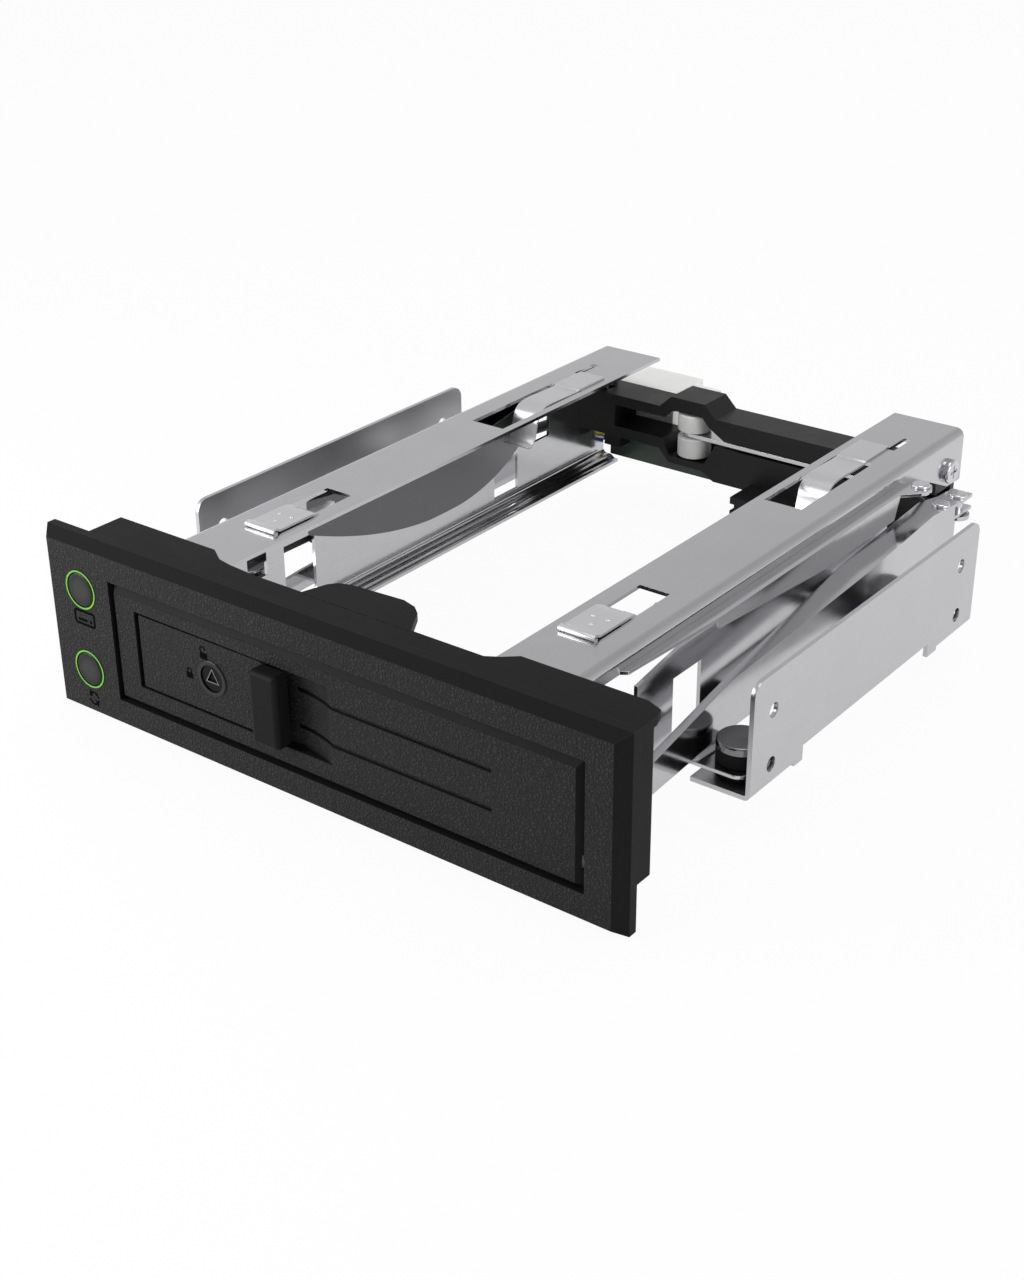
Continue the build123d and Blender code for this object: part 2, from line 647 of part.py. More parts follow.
def rear_bar():
    """Moulded bar between the rails, humped over the roller and slotted for the arm."""
    y0 = BAR_FRONT
    y1 = BAR_REAR
    hump_top = BAR_TOP + BAR_HUMP
    left = ROLLER_X - 8.4
    right = ROLLER_X + 8.2
    points = [
        (-RAIL_IN, BAR_LEFT_LOW), (-RAIL_IN, BAR_TOP), (left, BAR_TOP), (left + 3.4, hump_top),
        (right - 3.2, hump_top), (right, BAR_TOP), (RAIL_IN, BAR_TOP), (RAIL_IN, BAR_RIGHT_LOW),
        (right, BAR_RIGHT_LOW), (right - 3.5, BAR_MID_LOW), (left + 3.1, BAR_MID_LOW), (left, BAR_LEFT_LOW),
    ]
    bar = front_plate(points, y0, y1)
    for side in (-1, 1):
        inner = side * (RAIL_IN - BAR_EAR)
        outer = side * RAIL_IN
        bar += block(min(inner, outer), max(inner, outer), y0, y1, BAR_TOP, BAR_EAR_TOP)
        hole = along_x(BAR_SCREW_Y, BAR_SCREW_Z, 1.4, -7.5, 0)
        bar -= Pos(outer, 0, 0) * (hole if side > 0 else mirror_x(hole))
    bar += block(-RAIL_IN + 4.2, -RAIL_IN + 9.2, y1 - 4.5, y1, BAR_RIGHT_LOW, BAR_LEFT_LOW)
    slot_low = ARM_LOW - SLOT_GAP
    slot_high = ARM_LOW + ARM_THICK + SLOT_GAP
    reach = ROLLER_RADIUS + 1.0
    well_low = ROLLER_BOTTOM - SLOT_GAP
    well_high = ROLLER_TOP + SLOT_GAP
    window = [
        (ROLLER_X - 22.2, slot_low - 1.2), (ROLLER_X - reach - 2.0, slot_low - 1.2),
        (ROLLER_X - reach, well_low),
        (ROLLER_X + reach, well_low), (ROLLER_X + reach + 3.0, slot_low), (ROLLER_X + reach + 5.6, slot_low),
        (ROLLER_X + reach + 5.6, slot_high), (ROLLER_X + reach + 1.2, slot_high + 2.6),
        (ROLLER_X + reach - 1.0, well_high), (ROLLER_X - reach + 1.0, well_high),
        (ROLLER_X - reach - 1.6, slot_high + 2.6), (ROLLER_X - 22.2, slot_high + 2.6),
    ]
    bar -= front_plate(window, y0 - 1, y1 + 1)
    bar -= block(ROLLER_X + reach + 4.0, RAIL_IN + 1, y0 - 1, y1 - SLOT_WALL, slot_low, slot_high)
    bar -= upright(PIVOT_X, PIVOT_Y, PIVOT_RADIUS, slot_low - 3, slot_high + 3)
    for x, z in board_screw_spots():
        bar -= along_y(x, z, 1.0, y1 - 4.0, y1)
    return bar


def board_screw_spots():
    """Two screws that hold the rear board to the bar."""
    return [(-RAIL_IN + 6.7, BAR_RIGHT_LOW + 2.4), (30.0, BAR_RIGHT_LOW + 3.0)]


def rear_board():
    """Circuit board behind the bar."""
    board = block(-BOARD_HALF, BOARD_HALF, REAR_BOARD_Y, REAR_FACE_Y, BOARD_BOTTOM, BOARD_TOP)
    for x, z in board_screw_spots():
        board -= along_y(x, z, 1.2, REAR_BOARD_Y - 1, REAR_FACE_Y + 1)
    return board


def board_screws():
    """Screws from behind into the bar."""
    one = Rot(90, 0, 0) * screw(1.0, BOARD + 3.4, 2.0, 1.2)
    return Compound(children=[Pos(x, REAR_FACE_Y, z) * one for x, z in board_screw_spots()])


def bar_screws():
    """Screws through the webs into the ends of the bar."""
    left = Rot(0, 90, 0) * screw(1.38, 7.5, 2.9, 1.5)
    right = Rot(0, -90, 0) * screw(1.38, 7.5, 2.9, 1.5)
    return Compound(children=[
        Pos(-RAIL_OUT, BAR_SCREW_Y, BAR_SCREW_Z) * left,
        Pos(RAIL_OUT, BAR_SCREW_Y, BAR_SCREW_Z) * right,
    ])


def bezel_screws():
    """Screws from below through the rail flanges into the roof."""
    one = screw(0.98, SHEET + ROOF - 0.6, 2.1, 1.3)
    seat = FLANGE_TOP - SHEET
    return Compound(children=[Pos(side * BEZEL_SCREW_X, BEZEL_SCREW_Y, seat) * one for side in (-1, 1)])


def connector_slots(gap):
    """The two mouths of the drive connector, grown by gap on every side."""
    y0 = DRIVE_REAR - CONNECTOR_ENTRY
    low = CONNECTOR_BOTTOM + 1.9
    spans = [(CONNECTOR_LEFT + 3.0, 10.4), (CONNECTOR_LEFT + 17.5, 21.6)]
    return [block(x - gap, x + wide + gap, y0 - 1, y0 + 6.0, low, low + 2.4) for x, wide in spans]


def drive_connector():
    """Forward-facing connector under the bar, with a long and a short mouth."""
    y0 = DRIVE_REAR - CONNECTOR_ENTRY
    x0 = CONNECTOR_LEFT
    x1 = x0 + CONNECTOR_WIDTH
    body = block(x0, x1, y0, BAR_FRONT, CONNECTOR_BOTTOM, CONNECTOR_TOP)
    body += block(x0, x1, BAR_FRONT, REAR_BOARD_Y, CONNECTOR_BOTTOM, BAR_RIGHT_LOW)
    for mouth in connector_slots(0):
        body -= mouth
    notch = 1.2
    body -= block(x0, x0 + notch, y0, y0 + 5, CONNECTOR_BOTTOM + 2.4, CONNECTOR_BOTTOM + 4.2)
    body -= block(x1 - notch, x1, y0, y0 + 5, CONNECTOR_BOTTOM + 2.4, CONNECTOR_BOTTOM + 4.2)
    return body


def drive_contacts():
    """Contacts on the lower wall of each mouth."""
    y0 = DRIVE_REAR - CONNECTOR_ENTRY + 0.6
    low = CONNECTOR_BOTTOM + 1.9
    pieces = []
    for start, count in ((CONNECTOR_LEFT + 4.0, 7), (CONNECTOR_LEFT + 18.9, 15)):
        for i in range(count):
            x = start + i * CONTACT_PITCH
            pieces.append(block(x, x + 0.7, y0, y0 + 5.4, low, low + 0.35))
    return Compound(children=pieces)


def power_socket():
    """Open shell at the rear with a side lug, seated on the bar and the board."""
    x0 = POWER_LEFT
    x1 = x0 + POWER_WIDTH
    shell = block(x0, x1, REAR_FACE_Y, POWER_REAR, POWER_BOTTOM, POWER_TOP)
    shell += block(x0, x1, BAR_REAR, REAR_FACE_Y, BOARD_TOP, POWER_TOP)
    shell += block(x1, x1 + 6.5, POWER_REAR - 5.1, POWER_REAR - 1.6, POWER_TOP - 5.6, POWER_TOP - 1.2)
    wall = POWER_WALL
    cavity = block(x0 + wall, x1 - wall, REAR_FACE_Y + 2.4, POWER_REAR + 1,
                   POWER_BOTTOM + wall, POWER_TOP - wall)
    uppers = cavity.edges().filter_by(Axis.Y).filter_by(lambda e: e.center().Z > POWER_TOP - wall - 0.1)
    shell -= chamfer(uppers, 1.6)
    middle = (POWER_BOTTOM + POWER_TOP) / 2
    for x in power_pin_places():
        shell -= along_y(x, middle, POWER_PIN_RADIUS + 0.02, REAR_FACE_Y, REAR_FACE_Y + 3)
    return shell


def power_pin_places():
    """Four pins in a row."""
    middle = POWER_LEFT + POWER_WIDTH / 2
    return [middle + (i - 1.5) * POWER_PITCH for i in range(4)]


def power_pins():
    """Round pins inside the shell."""
    z = (POWER_BOTTOM + POWER_TOP) / 2
    pins = []
    for x in power_pin_places():
        pin = along_y(x, z, POWER_PIN_RADIUS, REAR_FACE_Y, POWER_REAR - 2.6)
        pins.append(fillet(pin.edges().group_by(Axis.Y)[-1], 0.7))
    return Compound(children=pins)


def data_socket():
    """Small shell with a stepped tongue, on the board's rear face."""
    x0 = DATA_LEFT
    x1 = x0 + DATA_WIDTH
    y1 = REAR_FACE_Y + DATA_DEPTH
    top = DATA_BOTTOM + DATA_HEIGHT
    shell = block(x0, x1, REAR_FACE_Y, y1, DATA_BOTTOM, top)
    shell -= block(x0 + 1.2, x1 - 1.2, REAR_FACE_Y + 1.8, y1 + 1, DATA_BOTTOM + 1.2, top - 1.2)
    shell += block(x0 + 2.4, x1 - 2.4, REAR_FACE_Y + 1.8, y1 - 0.6, DATA_BOTTOM + 3.4, DATA_BOTTOM + 4.6)
    shell += block(x0 + 2.4, x0 + 3.6, REAR_FACE_Y + 1.8, y1 - 0.6, DATA_BOTTOM + 2.2, DATA_BOTTOM + 3.4)
    return shell


def data_contacts():
    """Seven contacts on the tongue."""
    y1 = REAR_FACE_Y + DATA_DEPTH - 1.0
    z = DATA_BOTTOM + 4.6
    middle = DATA_LEFT + DATA_WIDTH / 2
    contacts = []
    for i in range(DATA_CONTACTS):
        x = middle + (i - (DATA_CONTACTS - 1) / 2) * DATA_PITCH
        contacts.append(block(x - 0.3, x + 0.3, REAR_FACE_Y + 1.8, y1, z, z + 0.2))
    return Compound(children=contacts)


def right_front_clip():
    """Hold-down spring: a dimpled plate on the flange and a leaf through the window."""
    x0, x1, window_front, window_rear = CLIP_WINDOW
    top = FLANGE_TOP
    plate_x0 = x0 - 1.2
    plate = block(plate_x0, x1, window_front - 13.5, window_front - 1.4, top, top + SPRING_SHEET)
    plate = round_uprights(plate, 0.8, lambda e: e.center().Y < window_front - 13)
    bead = along_x(window_front - 13.0, top + SPRING_SHEET, 0.5, plate_x0 + 0.5, x1 - 0.5)
    plate += bead
    middle = (plate_x0 + x1) / 2
    for dx, dy in ((0, -8.6), (-1.7, -5.4), (1.7, -5.4)):
        plate += Pos(middle + dx, window_front + dy, top + SPRING_SHEET - 0.55) * Sphere(0.9)
    under = top - SHEET - 0.8
    leaf = folded_along_x([
        (window_front - 1.4, top + SPRING_SHEET / 2), (window_front + 1.4, top + SPRING_SHEET / 2),
        (window_front + 3.0, under), (window_rear - 3.0, DRIVE_TOP + 0.7),
        (window_rear - 0.6, DRIVE_TOP + 1.5),
    ], SMALL_BEND, SPRING_SHEET, x1 - 2.8, x1 - 0.3)
    clip = plate + leaf
    return clip - block(plate_x0, x1, window_front - 14, window_front - 1.4, top - 1, top)


def left_front_clip():
    """Mirror of the right spring."""
    return mirror_x(right_front_clip())


def right_rear_clip():
    """Spring tab that lies on the flange and rolls down through its window."""
    x0, x1, window_front, window_rear = TAB_WINDOW
    wide0 = x0 + 0.4
    wide1 = x1 - 1.5
    level = FLANGE_TOP + SPRING_SHEET / 2
    tab = folded_along_x([
        (window_rear + 10.5, level), (window_rear + 0.4, level), (window_rear - 0.6, level + 0.5),
        (window_rear - 14.0, level + 0.5), (window_rear - 17.4, DRIVE_TOP + 1.6),
        (window_rear - 21.5, DRIVE_TOP + 0.7), (window_rear - 24.0, DRIVE_TOP + 1.6),
    ], 1.3, SPRING_SHEET, wide0, wide1)
    return tab


def left_rear_clip():
    """Mirror of the right tab."""
    return mirror_x(right_rear_clip())


def side_spring():
    """Bowed leaf spring against the drive's left side."""
    x = -RAIL_IN
    front = BOW_FRONT - BOW_TOE
    rear = BOW_REAR + BOW_TOE
    outer = ThreePointArc((x, BOW_FRONT), (x + BOW_REACH - BOW_SHEET, BOW_APEX), (x, BOW_REAR))
    inner = ThreePointArc((x, front), (x + BOW_REACH, BOW_APEX), (x, rear))
    plan = make_face([outer, inner, Line((x, front), (x, BOW_FRONT)), Line((x, BOW_REAR), (x, rear))])
    low = LEDGE_TOP + 9.9
    high = FLANGE_TOP - 4.8
    leaf = extrude(Plane.XY.offset(low) * plan, high - low)
    ends = LEDGE_TOP + 18.2
    front -= 2.5
    rear += 2.5
    base = low - 2
    sag = ThreePointArc((front, ends), (BOW_LOWEST, low), (rear, ends))
    below = Polyline((front, ends), (front, base), (rear, base), (rear, ends))
    cut = extrude(Plane.YZ.offset(x - 1) * make_face([sag, below]), BOW_REACH + 2)
    return leaf - cut


def link_guard():
    """Tapered channel along the right rail that covers the link."""
    z1 = GUARD_TOP
    z0 = z1 - SHEET
    x0 = RAIL_OUT
    reach = 3.0
    lug_y = GUARD_RIVET_Y
    top = flat_plate([
        (x0, 30.0), (x0 + 1.3, 31.0), (x0 + reach, 60.0), (x0 + reach, lug_y - 7.0),
        (GUARD_RIVET_X + 2.0, lug_y - 3.4), (GUARD_RIVET_X + 2.8, lug_y), (GUARD_RIVET_X + 1.6, lug_y + 2.4),
        (GUARD_RIVET_X - 1.6, lug_y + 2.4), (x0, lug_y - 1.5),
    ], z0, z1)
    web = side_plate([
        (60.0, z0), (60.0, z0 - 1.7), (100.0, z0 - 4.8), (lug_y - 9.0, z0 - 4.8), (lug_y - 7.0, z0),
    ], x0 + reach - SHEET, x0 + reach)
    guard = top + web
    return guard - upright(GUARD_RIVET_X, lug_y, RIVET_RADIUS, z0 - 1, z1 + 1)


def rivet(x, y, z0, z1):
    """Round-headed rivet along Z with its head above z1."""
    shank = upright(x, y, RIVET_RADIUS, z0, z1)
    head = upright(x, y, RIVET_HEAD, z1, z1 + HEAD_HEIGHT)
    return shank + fillet(head.edges().group_by(Axis.Z)[-1], HEAD_HEIGHT * 0.7)


def guard_rivet():
    """Rivet in the guard's rear lug, with a washer below."""
    z0 = GUARD_TOP - SHEET
    washer = upright(GUARD_RIVET_X, GUARD_RIVET_Y, RIVET_HEAD, z0 - 0.7, z0)
    return rivet(GUARD_RIVET_X, GUARD_RIVET_Y, z0, GUARD_TOP) + washer


def light_ring(height):
    """Light guide round a button."""
    ring = along_y(BUTTON_X, height, RING_RADIUS, -RING_STAND, BEZEL_DEPTH)
    return ring - along_y(BUTTON_X, height, RING_RADIUS - RING_WIDTH, -1, BEZEL_DEPTH + 1)


def button_cap(height):
    """Domed cap with a rim behind the ring and a stem to the switch."""
    radius = RING_RADIUS - RING_WIDTH - BUTTON_GAP
    cap = along_y(BUTTON_X, height, radius, -BUTTON_DOME * 0.3, BEZEL_DEPTH + 0.2)
    curve = (radius * radius + BUTTON_DOME * BUTTON_DOME) / (2 * BUTTON_DOME)
    dome = Pos(BUTTON_X, curve - BUTTON_DOME, height) * Sphere(curve)
    cap &= dome
    rim_front = BEZEL_DEPTH + 0.2
    cap += along_y(BUTTON_X, height, radius + BUTTON_RIM, rim_front, rim_front + BUTTON_RIM)
    wall = BUTTON_GAP * 2 - BODY_LEFT + WALL
    start = BEZEL_DEPTH - BUTTON_TRAVEL - BUTTON_GAP * 2
    cap -= block(-BEZEL_WIDTH / 2, wall, start, FRONT_BOARD_Y, 0, BEZEL_HEIGHT)
    stem_end = SWITCH_TOP - BUTTON_TRAVEL - BUTTON_GAP
    return cap + along_y(BUTTON_X, height, STEM_RADIUS, rim_front + BUTTON_RIM, stem_end)


def front_board():
    """Board behind the buttons, on two posts of the bezel."""
    return block(-BODY_LEFT + WALL + 0.4, FRONT_BOARD_RIGHT, FRONT_BOARD_Y, FRONT_BOARD_Y + BOARD,
                 LEDGE_TOP + 0.4, FLANGE_TOP - 2.4)


def front_switches():
    """Two small push switches."""
    half = SWITCH_SIZE / 2
    front = FRONT_BOARD_Y - SWITCH_HEIGHT
    pieces = []
    for height in (BUTTON_LOW_Z, BUTTON_HIGH_Z):
        body = block(BUTTON_X - half, BUTTON_X + half, front, FRONT_BOARD_Y, height - half, height + half)
        pieces.append(body + along_y(BUTTON_X, height, STEM_RADIUS, SWITCH_TOP, front))
    return Compound(children=pieces)


def hinge_pin():
    """Upright pin of the door."""
    return upright(HINGE_X, HINGE_Y, PIN_RADIUS, OPENING_LOW - PIN_SEAT, OPENING_HIGH + PIN_SEAT)


def door_bounds():
    """Left, right, low and high edges of the door's base."""
    return (-OPENING_LEFT + DOOR_LEFT_GAP, OPENING_RIGHT - DOOR_RIGHT_GAP,
            OPENING_LOW + OPENING_GAP, OPENING_HIGH - OPENING_GAP)


def scoop_tool(depth, z0, z1):
    """Finger hollow: an arc in plan, deepest beside the ridge."""
    x0 = POCKET_RIGHT
    deep = LATCH_POCKET + depth
    front = DOOR_FRONT + depth
    middle = ((x0 + SCOOP_END) / 2 + 0.9, (deep + front) / 2 + 0.35)
    curve = ThreePointArc((x0, deep), middle, (SCOOP_END, front))
    rest = Polyline((SCOOP_END, front), (SCOOP_END, DOOR_FRONT - 1), (x0, DOOR_FRONT - 1), (x0, deep))
    return extrude(Plane.XY.offset(z0) * make_face([curve, rest]), z1 - z0)


def door_panel():
    """Outer moulding of the door with its bevels, latch pocket, scoop, grooves and hinge barrel."""
    left, right, low, high = door_bounds()
    shoulder = DOOR_FRONT + DOOR_BEVEL
    face_w = right - left - DOOR_BEVEL_LEFT - DOOR_BEVEL_RIGHT
    face_h = high - low - DOOR_BEVEL_TOP - DOOR_BEVEL_LOW
    face_x = left + DOOR_BEVEL_LEFT + face_w / 2
    face_z = low + DOOR_BEVEL_LOW + face_h / 2
    face = Plane.XZ.offset(-DOOR_FRONT) * Pos(face_x, face_z) * Rectangle(face_w, face_h)
    base = Rectangle(right - left, high - low)
    base = Plane.XZ.offset(-shoulder) * Pos((left + right) / 2, (low + high) / 2) * base
    panel = loft([face, base]) + block(left, right, shoulder, DOOR_REAR, low, high)
    panel += upright(HINGE_X, HINGE_Y, BARREL_RADIUS, low, high)
    pocket_low = LATCH_MIDDLE - LATCH_HEIGHT / 2 - LATCH_GAP / 2
    pocket_high = LATCH_MIDDLE + LATCH_HEIGHT / 2 + LATCH_GAP / 2
    before = DOOR_FRONT - 1
    panel -= block(LATCH_LEFT - LATCH_GAP, POCKET_RIGHT, before, LATCH_POCKET, pocket_low, pocket_high)
    panel -= scoop_tool(0, pocket_low, pocket_high)
    for z in (LATCH_MIDDLE - GROOVE_PITCH / 2, LATCH_MIDDLE + GROOVE_PITCH / 2):
        z0 = z - GROOVE_WIDTH / 2
        z1 = z + GROOVE_WIDTH / 2
        panel -= block(SCOOP_END, GROOVE_END, before, DOOR_FRONT + GROOVE_DEPTH, z0, z1)
        panel -= scoop_tool(GROOVE_DEPTH, z0, z1)
    stem_half = STEM_HALF + LOCK_CAM_GAP
    stem_right = STEM_LEFT + STEM_LENGTH + LATCH_TRAVEL + SLIDE_GAP
    panel -= block(STEM_LEFT - SLIDE_GAP, stem_right, LATCH_POCKET - 1, DOOR_REAR + 1,
                   LATCH_MIDDLE - stem_half, LATCH_MIDDLE + stem_half)
    room = LOCK_RADIUS + LOCK_CAM_GAP
    sweep = math.hypot(LOCK_CAM_REACH, LOCK_CAM_WIDTH / 2) + LOCK_CAM_GAP
    panel -= block(LOCK_X - room, LOCK_X + LATCH_TRAVEL + sweep, LATCH_POCKET - 1, DOOR_REAR + 1,
                   LATCH_MIDDLE - room, LATCH_MIDDLE + sweep)
    cam_high = CAM_LOW + CAM_HEIGHT
    panel -= block(HINGE_X - 4.0, right + 1, DOOR_FRONT + DOOR_SKIN, HINGE_Y + 4, CAM_LOW, cam_high)
    return panel - upright(HINGE_X, HINGE_Y, PIN_RADIUS + RUN_GAP, low - 1, high + 1)


def back_bounds():
    """Left, right, low and high edges of the inner plate."""
    left, right, low, high = door_bounds()
    return left + BACK_MARGIN, HINGE_X - BARREL_RADIUS - 0.8, low + BACK_MARGIN, high - BACK_MARGIN


def door_back():
    """Inner plate of the door, with a channel for the bolt."""
    left, right, low, high = back_bounds()
    plate = block(left, right, DOOR_REAR, BACK_REAR, low, high)
    room = SLIDE_GAP
    end = BOLT_LEFT + BOLT_LENGTH + LATCH_TRAVEL + room
    half = BOLT_HEIGHT / 2 + room
    deep = BOLT_FRONT + BOLT_THICK + room
    plate -= block(left - 1, end, DOOR_REAR - 1, deep, LATCH_MIDDLE - half, LATCH_MIDDLE + half)
    return plate - block(HINGE_X - 4.0, right + 1, DOOR_REAR, BACK_REAR, CAM_LOW, CAM_LOW + CAM_HEIGHT)


def door_pads():
    """Two rubber pads that press on the drive."""
    z0 = LATCH_MIDDLE - PAD_HEIGHT / 2
    half = PAD_WIDTH / 2
    pads = []
    for middle in (-PAD_CENTRE, PAD_CENTRE):
        pad = block(middle - half, middle + half, BACK_REAR, BACK_REAR + PAD_THICK, z0, z0 + PAD_HEIGHT)
        pads.append(fillet(pad.edges().filter_by(Axis.Y), 1.5))
    return Compound(children=pads)


def door_cam():
    """Eccentric round the hinge pin that pushes the link back as the door opens."""
    start = math.radians(DOOR_ANGLE / 2)
    x = HINGE_X + CAM_OFFSET * math.cos(start)
    y = HINGE_Y - CAM_OFFSET * math.sin(start)
    z1 = CAM_LOW + CAM_HEIGHT
    cam = upright(x, y, CAM_RADIUS, CAM_LOW, z1) + upright(HINGE_X, HINGE_Y, CAM_HUB, CAM_LOW, z1)
    cam &= block(HINGE_X - 5, HINGE_X + 6, DOOR_FRONT + DOOR_SKIN, HINGE_Y + 6, CAM_LOW, z1)
    return cam - upright(HINGE_X, HINGE_Y, PIN_RADIUS + RUN_GAP, CAM_LOW - 1, z1 + 1)


def latch_panel():
    """Sliding panel in the door with a finger ridge, bored for the lock."""
    half = LATCH_HEIGHT / 2
    panel = block(LATCH_LEFT, LATCH_RIGHT, LATCH_FRONT, LATCH_REAR, LATCH_MIDDLE - half, LATCH_MIDDLE + half)
    ridge = block(RIDGE_LEFT, RIDGE_RIGHT, RIDGE_FRONT, RIDGE_REAR, LATCH_MIDDLE - half, LATCH_MIDDLE + half)
    ridge = fillet(ridge.edges().filter_by(lambda e: e.center().Y < RIDGE_REAR - 0.1), RIDGE_ROUND)
    panel += ridge
    panel += block(RIDGE_LEFT, LATCH_RIGHT, RIDGE_REAR, LATCH_REAR, LATCH_MIDDLE - half, LATCH_MIDDLE + half)
    panel -= along_y(LOCK_X, LATCH_MIDDLE, LOCK_RING_RADIUS + 0.02, LATCH_FRONT - 1, LATCH_FRONT + 0.5)
    return panel - along_y(LOCK_X, LATCH_MIDDLE, LOCK_RADIUS + BUTTON_GAP, LATCH_FRONT - 1, LATCH_REAR + 1)


def latch_bolt():
    """Flat bolt behind the door panel, with a stem to the latch panel."""
    half = BOLT_HEIGHT / 2
    bolt = block(BOLT_LEFT, BOLT_LEFT + BOLT_LENGTH, BOLT_FRONT, BOLT_FRONT + BOLT_THICK,
                 LATCH_MIDDLE - half, LATCH_MIDDLE + half)
    ends = bolt.edges().filter_by(Axis.Z).filter_by(lambda e: e.center().X < BOLT_LEFT + 0.1)
    bolt = chamfer(ends.sort_by(Axis.Y)[-1], BOLT_THROW * 0.6)
    return bolt + block(STEM_LEFT, STEM_LEFT + STEM_LENGTH, LATCH_REAR, BOLT_FRONT,
                        LATCH_MIDDLE - STEM_HALF, LATCH_MIDDLE + STEM_HALF)


def lock_ring():
    """Ring round the lock, seated in the latch panel."""
    ring = along_y(LOCK_X, LATCH_MIDDLE, LOCK_RING_RADIUS, LATCH_FRONT - 0.25, LATCH_FRONT + 0.5)
    ring = fillet(ring.edges().group_by(Axis.Y)[0], 0.2)
    return ring - along_y(LOCK_X, LATCH_MIDDLE, LOCK_RADIUS + BUTTON_GAP, LATCH_FRONT - 1, LATCH_FRONT + 1)


def lock_barrel():
    """Key barrel with a sunk arrow."""
    front = LATCH_FRONT + 0.05
    barrel = along_y(LOCK_X, LATCH_MIDDLE, LOCK_RADIUS, front, LATCH_POCKET)
    corners = []
    for turn in (90, 210, 330):
        angle = math.radians(turn)
        right = ARROW_RADIUS * math.cos(angle)
        up = ARROW_RADIUS * math.sin(angle)
        corners.append((LOCK_X + right, LATCH_MIDDLE + up))
    return barrel - front_plate(corners, front - 1, front + ARROW_DEPTH)


def lock_cam():
    """Cam behind the barrel; its tab turns up in the hollow of the door."""
    y0 = LATCH_POCKET
    y1 = y0 + LOCK_CAM_THICK
    half = LOCK_CAM_WIDTH / 2
    disc = along_y(LOCK_X, LATCH_MIDDLE, LOCK_RADIUS, y0, y1)
    return disc + block(LOCK_X, LOCK_X + LOCK_CAM_REACH, y0, y1, LATCH_MIDDLE - half, LATCH_MIDDLE + half)


def link_plan(inset):
    """Plan of the link's top, with its outer edge moved in by inset."""
    rear = ARM_PIN_Y + 3.4
    return [
        (LINK_OUTER - 4.2, 14.0), (LINK_OUTER - 2.1 - inset, 14.0), (LINK_OUTER - 2.1 - inset, 57.0),
        (LINK_OUTER - inset, 107.0), (ARM_PIN_X + 0.7 - inset, 143.0),
        (ARM_PIN_X + 2.0 - inset, ARM_PIN_Y - 2.0),
        (ARM_PIN_X + 2.0 - inset, rear), (ARM_PIN_X - 3.0, rear), (ARM_PIN_X - 3.6, ARM_PIN_Y - 3.0),
        (LINK_INNER - 2.0, 148.0), (LINK_INNER, 111.0), (LINK_OUTER - 3.8, 57.0),
    ]


def link_side(drop):
    """Side of the link, with its top moved down by drop."""
    top = LINK_TOP - drop
    rear = ARM_PIN_Y + 5
    return [
        (13.0, TONGUE_LOW + 1.8 - drop), (30.0, top - 10.0), (57.0, top - 4.5), (107.0, top), (rear, top),
        (rear, top - 4.0), (ARM_PIN_Y - 6.0, LINK_TOP - 11.0), (107.0, LINK_TOP - 13.5),
        (57.0, LINK_TOP - 15.0),
        (30.0, TONGUE_LOW - 1.0), (13.0, TONGUE_LOW - 1.0),
    ]


def push_link():
    """Pressed channel from the door's cam to the arm: a top, an outer web and two ears."""
    x0 = LINK_INNER - 4
    x1 = LINK_OUTER + 1
    body = flat_plate(link_plan(0), 0, LINK_TOP) & side_plate(link_side(0), x0, x1)
    ear_front = ARM_PIN_Y - 4.6
    hollow = flat_plate(link_plan(SHEET), 0, LINK_TOP) & side_plate(link_hollow_side(), x0, x1)
    body -= hollow
    ear_low = ARM_LOW + ARM_THICK + 0.3
    body -= block(x0, x1, ear_front, ARM_PIN_Y + 6, ear_low + SHEET, LINK_TOP - SHEET)
    body -= block(x0, x1, ear_front, ARM_PIN_Y + 6, 0, ear_low)
    body += block(LINK_OUTER - 6.2, ARM_PIN_X + 1.2, ear_front - 3, ARM_PIN_Y + 3.4, ear_low, ear_low + SHEET)
    tongue_x0 = HINGE_X - 0.1
    body += block(tongue_x0, HINGE_X + 2.0, tongue_front(), 14.5, TONGUE_LOW, TONGUE_LOW + TONGUE_THICK)
    for y in link_rivet_places():
        body -= upright(ARM_PIN_X - (0.7 if y < ARM_PIN_Y else 0), y, RIVET_RADIUS, 0, LINK_TOP + 1)
    return body


def tongue_front():
    """Front end of the link, just behind the cam."""
    return HINGE_Y - CAM_OFFSET * math.sin(math.radians(DOOR_ANGLE / 2)) + CAM_RADIUS + CAM_GAP


def link_hollow_side():
    """Side of the room under the link's top."""
    top = LINK_TOP - SHEET
    rear = ARM_PIN_Y + 6
    return [(28.0, top - 10.6), (57.0, top - 4.5), (107.0, top), (rear, top), (rear, 0), (28.0, 0)]


def link_rivet_places():
    """Rivets along Y: one at the web's rear end and one that holds the arm."""
    return [ARM_PIN_Y - 7.2, ARM_PIN_Y]


def link_rivets():
    """Rivets of the link; the rear one reaches down through the arm."""
    first, second = link_rivet_places()
    return Compound(children=[
        rivet(ARM_PIN_X - 0.7, first, LINK_TOP - SHEET, LINK_TOP),
        rivet(ARM_PIN_X, second, ARM_LOW - 0.6, LINK_TOP),
    ])


